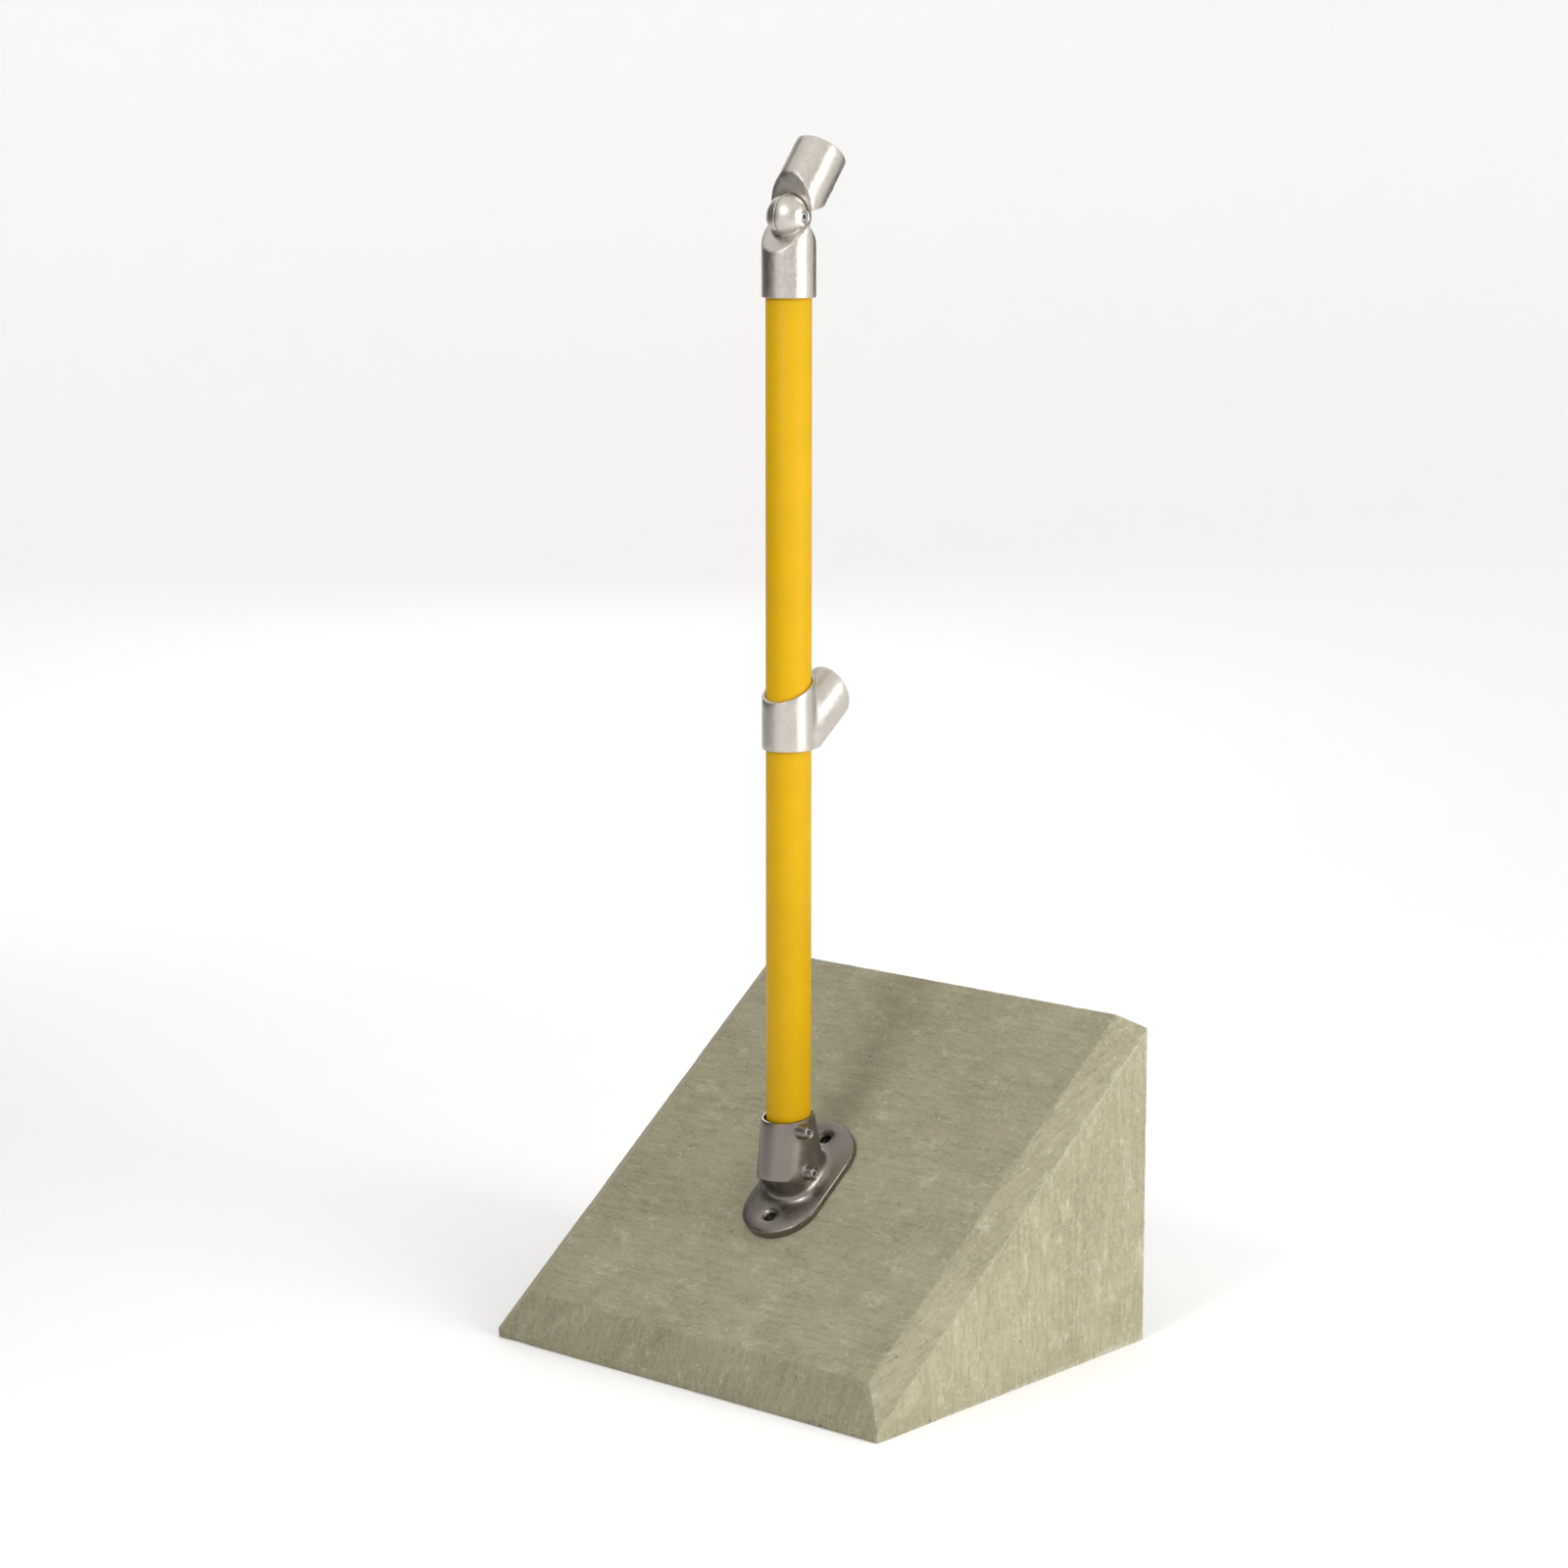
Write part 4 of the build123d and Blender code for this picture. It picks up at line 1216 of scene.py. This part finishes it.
class WEDGE_OT_pivot(bpy.types.Operator):
    """Builds the knuckle's bolt, nut and washer"""
    bl_idname = "wedge.pivot"
    bl_label = "Knuckle Pivot"

    def execute(self, context):
        settings = context.scene.wedge_steel
        material = bpy.data.materials["zinc_steel"]
        place = upright_to((1, 0, 0), (0, POST_Y, BALL_Z))
        low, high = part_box("pivot_bolt")
        head = 0.0138
        bolt = cap_screw_mesh("pivot_bolt_plain", low.x, head, high.x, 0.004, 0.0053, settings.thread_depth)
        values = {
            "Count": settings.knurls, "Radius": 0.0053, "Length": high.x - head - 0.0016,
            "Level": (head + high.x) / 2, "Material": material}
        bolt = knurl_tree().apply(add_object("bolt_blank", bolt), values, "pivot_bolt_knurled")
        low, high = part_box("pivot_nut")
        nut = nut_mesh("pivot_nut_chamfered", low.x, high.x, 0.013, 0.00405)
        low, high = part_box("pivot_washer")
        ease = 0.0002
        ring = [
            (0.0042, low.x + ease), (0.0044, low.x), (0.0074, low.x), (0.0076, low.x + ease),
            (0.0076, high.x - ease), (0.0074, high.x), (0.0044, high.x), (0.0042, high.x - ease)]
        washer = mesh_from("pivot_washer_eased", *lathe(ring, 64))
        for mesh, node in ((bolt, "pivot_bolt"), (nut, "pivot_nut"), (washer, "pivot_washer")):
            mesh.transform(place)
            finish_mesh(mesh, material, 35.0, recalculate=node != "pivot_bolt")
            attach(add_object(mesh.name, mesh), "lower_knuckle", node)
        return {"FINISHED"}


class WEDGE_OT_anchors(bpy.types.Operator):
    """Colours the drop-in anchors under the base's holes near-black, as painted shade in the holes"""
    bl_idname = "wedge.anchors"
    bl_label = "Anchors"

    def execute(self, context):
        # Painted shade: the zinc anchors are coloured near-black so that the holes look dark.
        material = metal_material(
            "anchor_zinc_painted_shade", (0.050, 0.046, 0.041), 0.55, (1200.0, 1200.0, 500.0), 0.12, 0.2)
        for which in ("lower", "upper"):
            for kind in ("sleeve", "cone"):
                dress(frame["nodes"][f"anchor_{kind}_{which}"].data, material)
        return {"FINISHED"}


class WEDGE_OT_stage(bpy.types.Operator):
    """Sets up the pale studio, its soft lights and the camera"""
    bl_idname = "wedge.stage"
    bl_label = "Studio"

    def execute(self, context):
        settings = context.scene.wedge_stage
        flat, bend = 3.0, 5.5
        profile = [(0.0, 0.0), (flat, 0.0)]
        profile += [(flat + bend * sin(a), bend - bend * cos(a)) for a in np.linspace(0.04, pi / 2, 24)]
        profile.append((flat + bend, 7.5))
        points, faces = lathe(profile, 96, closed=False)
        mesh = mesh_from("studio_floor", points, faces)
        finish_mesh(mesh, floor_material(settings.floor_colour), 80.0)
        add_object("studio_floor", mesh)
        for name, place, target, size, watts, colour in (
                ("side_light", (3.4, 0.3, 1.5), (0, 0, 0.6), (1.5, 2.4), 80.0, (1.0, 0.985, 0.96)),
                ("front_light", (0.6, -4.0, 3.6), (0, 0, 0.3), (1.1, 1.1), 82.0, (1.0, 0.99, 0.97)),
                ("rear_light", (-2.9, 2.6, 2.2), (0, 0, 0.6), (0.8, 2.4), 20.0, (1.0, 1.0, 1.0))):
            self.add_light(context, name, place, target, size, watts, colour)
        for middle, width in ((-117, 76), (-5, 46), (98, 34)):
            self.add_card("dark_card", middle, width, CARD_RADIUS, CARD_HEIGHT)
        flag = self.add_card("left_flag", -128, 80, 2.6, 3.0)
        flag.visible_diffuse, flag.visible_glossy = True, False
        world = bpy.data.worlds.new("studio_air")
        context.scene.world = world
        world.use_nodes = True
        background = world.node_tree.nodes["Background"]
        background.inputs["Color"].default_value = WORLD_COLOUR
        background.inputs["Strength"].default_value = 1.0
        camera = bpy.data.cameras.new("studio_camera")
        camera.lens = settings.lens
        camera.sensor_width = 36.0
        camera.clip_end = 60.0
        holder = bpy.data.objects.new("studio_camera", camera)
        context.scene.collection.objects.link(holder)
        holder.location = CAMERA_PLACE
        holder.rotation_euler = Vector(CAMERA_AIM).to_track_quat("-Z", "Y").to_euler()
        context.scene.camera = holder
        context.scene.view_settings.view_transform = "Standard"
        return {"FINISHED"}

    @staticmethod
    def add_card(name, middle, width, radius, high):
        """One upright dark card that the bright metal mirrors and the camera doesn't see."""
        low, steps = 0.15, 6
        points = []
        for step in range(steps + 1):
            angle = radians(middle - width / 2 + width * step / steps)
            points += [(radius * sin(angle), radius * cos(angle), height) for height in (low, high)]
        faces = [(i, i + 2, i + 3, i + 1) for i in range(0, steps * 2, 2)]
        mesh = mesh_from(name, points, faces)
        dress(mesh, card_material())
        card = add_object(name, mesh)
        card.visible_camera = card.visible_diffuse = card.visible_shadow = False
        return card

    @staticmethod
    def add_light(context, name, place, target, size, watts, colour):
        """One large soft light, aimed at a point."""
        light = bpy.data.lights.new(name, "AREA")
        light.shape = "RECTANGLE"
        light.size, light.size_y = size
        light.energy = watts
        light.color = colour
        holder = bpy.data.objects.new(name, light)
        context.scene.collection.objects.link(holder)
        holder.location = place
        holder.rotation_euler = (Vector(target) - Vector(place)).to_track_quat("-Z", "Y").to_euler()
        holder.visible_camera = False


OPERATORS = (
    WEDGE_OT_concrete, WEDGE_OT_reinforcement, WEDGE_OT_post, WEDGE_OT_castings,
    WEDGE_OT_set_screws, WEDGE_OT_pivot, WEDGE_OT_anchors, WEDGE_OT_stage)
SETTINGS = {
    "wedge_concrete": ConcreteSettings, "wedge_post": PostSettings, "wedge_castings": CastingSettings,
    "wedge_steel": SteelSettings, "wedge_stage": StageSettings}


class WEDGE_PT_panel(bpy.types.Panel):
    """Lists the settings and the pieces"""
    bl_idname = "WEDGE_PT_panel"
    bl_label = "Wedge Block"
    bl_space_type = "VIEW_3D"
    bl_region_type = "UI"
    bl_category = "Wedge Block"

    def draw(self, context):
        for name, kind in SETTINGS.items():
            box = self.layout.box()
            box.label(text=kind.__doc__)
            for prop in kind.__annotations__:
                box.prop(getattr(context.scene, name), prop)
        for operator in OPERATORS:
            self.layout.operator(operator.bl_idname)


def register():
    """Registers the classes and hangs the settings on the scene."""
    for name, kind in SETTINGS.items():
        bpy.utils.register_class(kind)
        setattr(bpy.types.Scene, name, PointerProperty(type=kind))
    for kind in (*OPERATORS, WEDGE_PT_panel):
        bpy.utils.register_class(kind)


def unregister():
    """Takes the settings and the classes away again."""
    for kind in (WEDGE_PT_panel, *reversed(OPERATORS)):
        bpy.utils.unregister_class(kind)
    for name, kind in SETTINGS.items():
        delattr(bpy.types.Scene, name)
        bpy.utils.unregister_class(kind)


def main():
    """Builds every piece."""
    register()
    for operator in OPERATORS:
        family, action = operator.bl_idname.split(".")
        getattr(getattr(bpy.ops, family), action)()


if __name__ == "__main__":
    main()
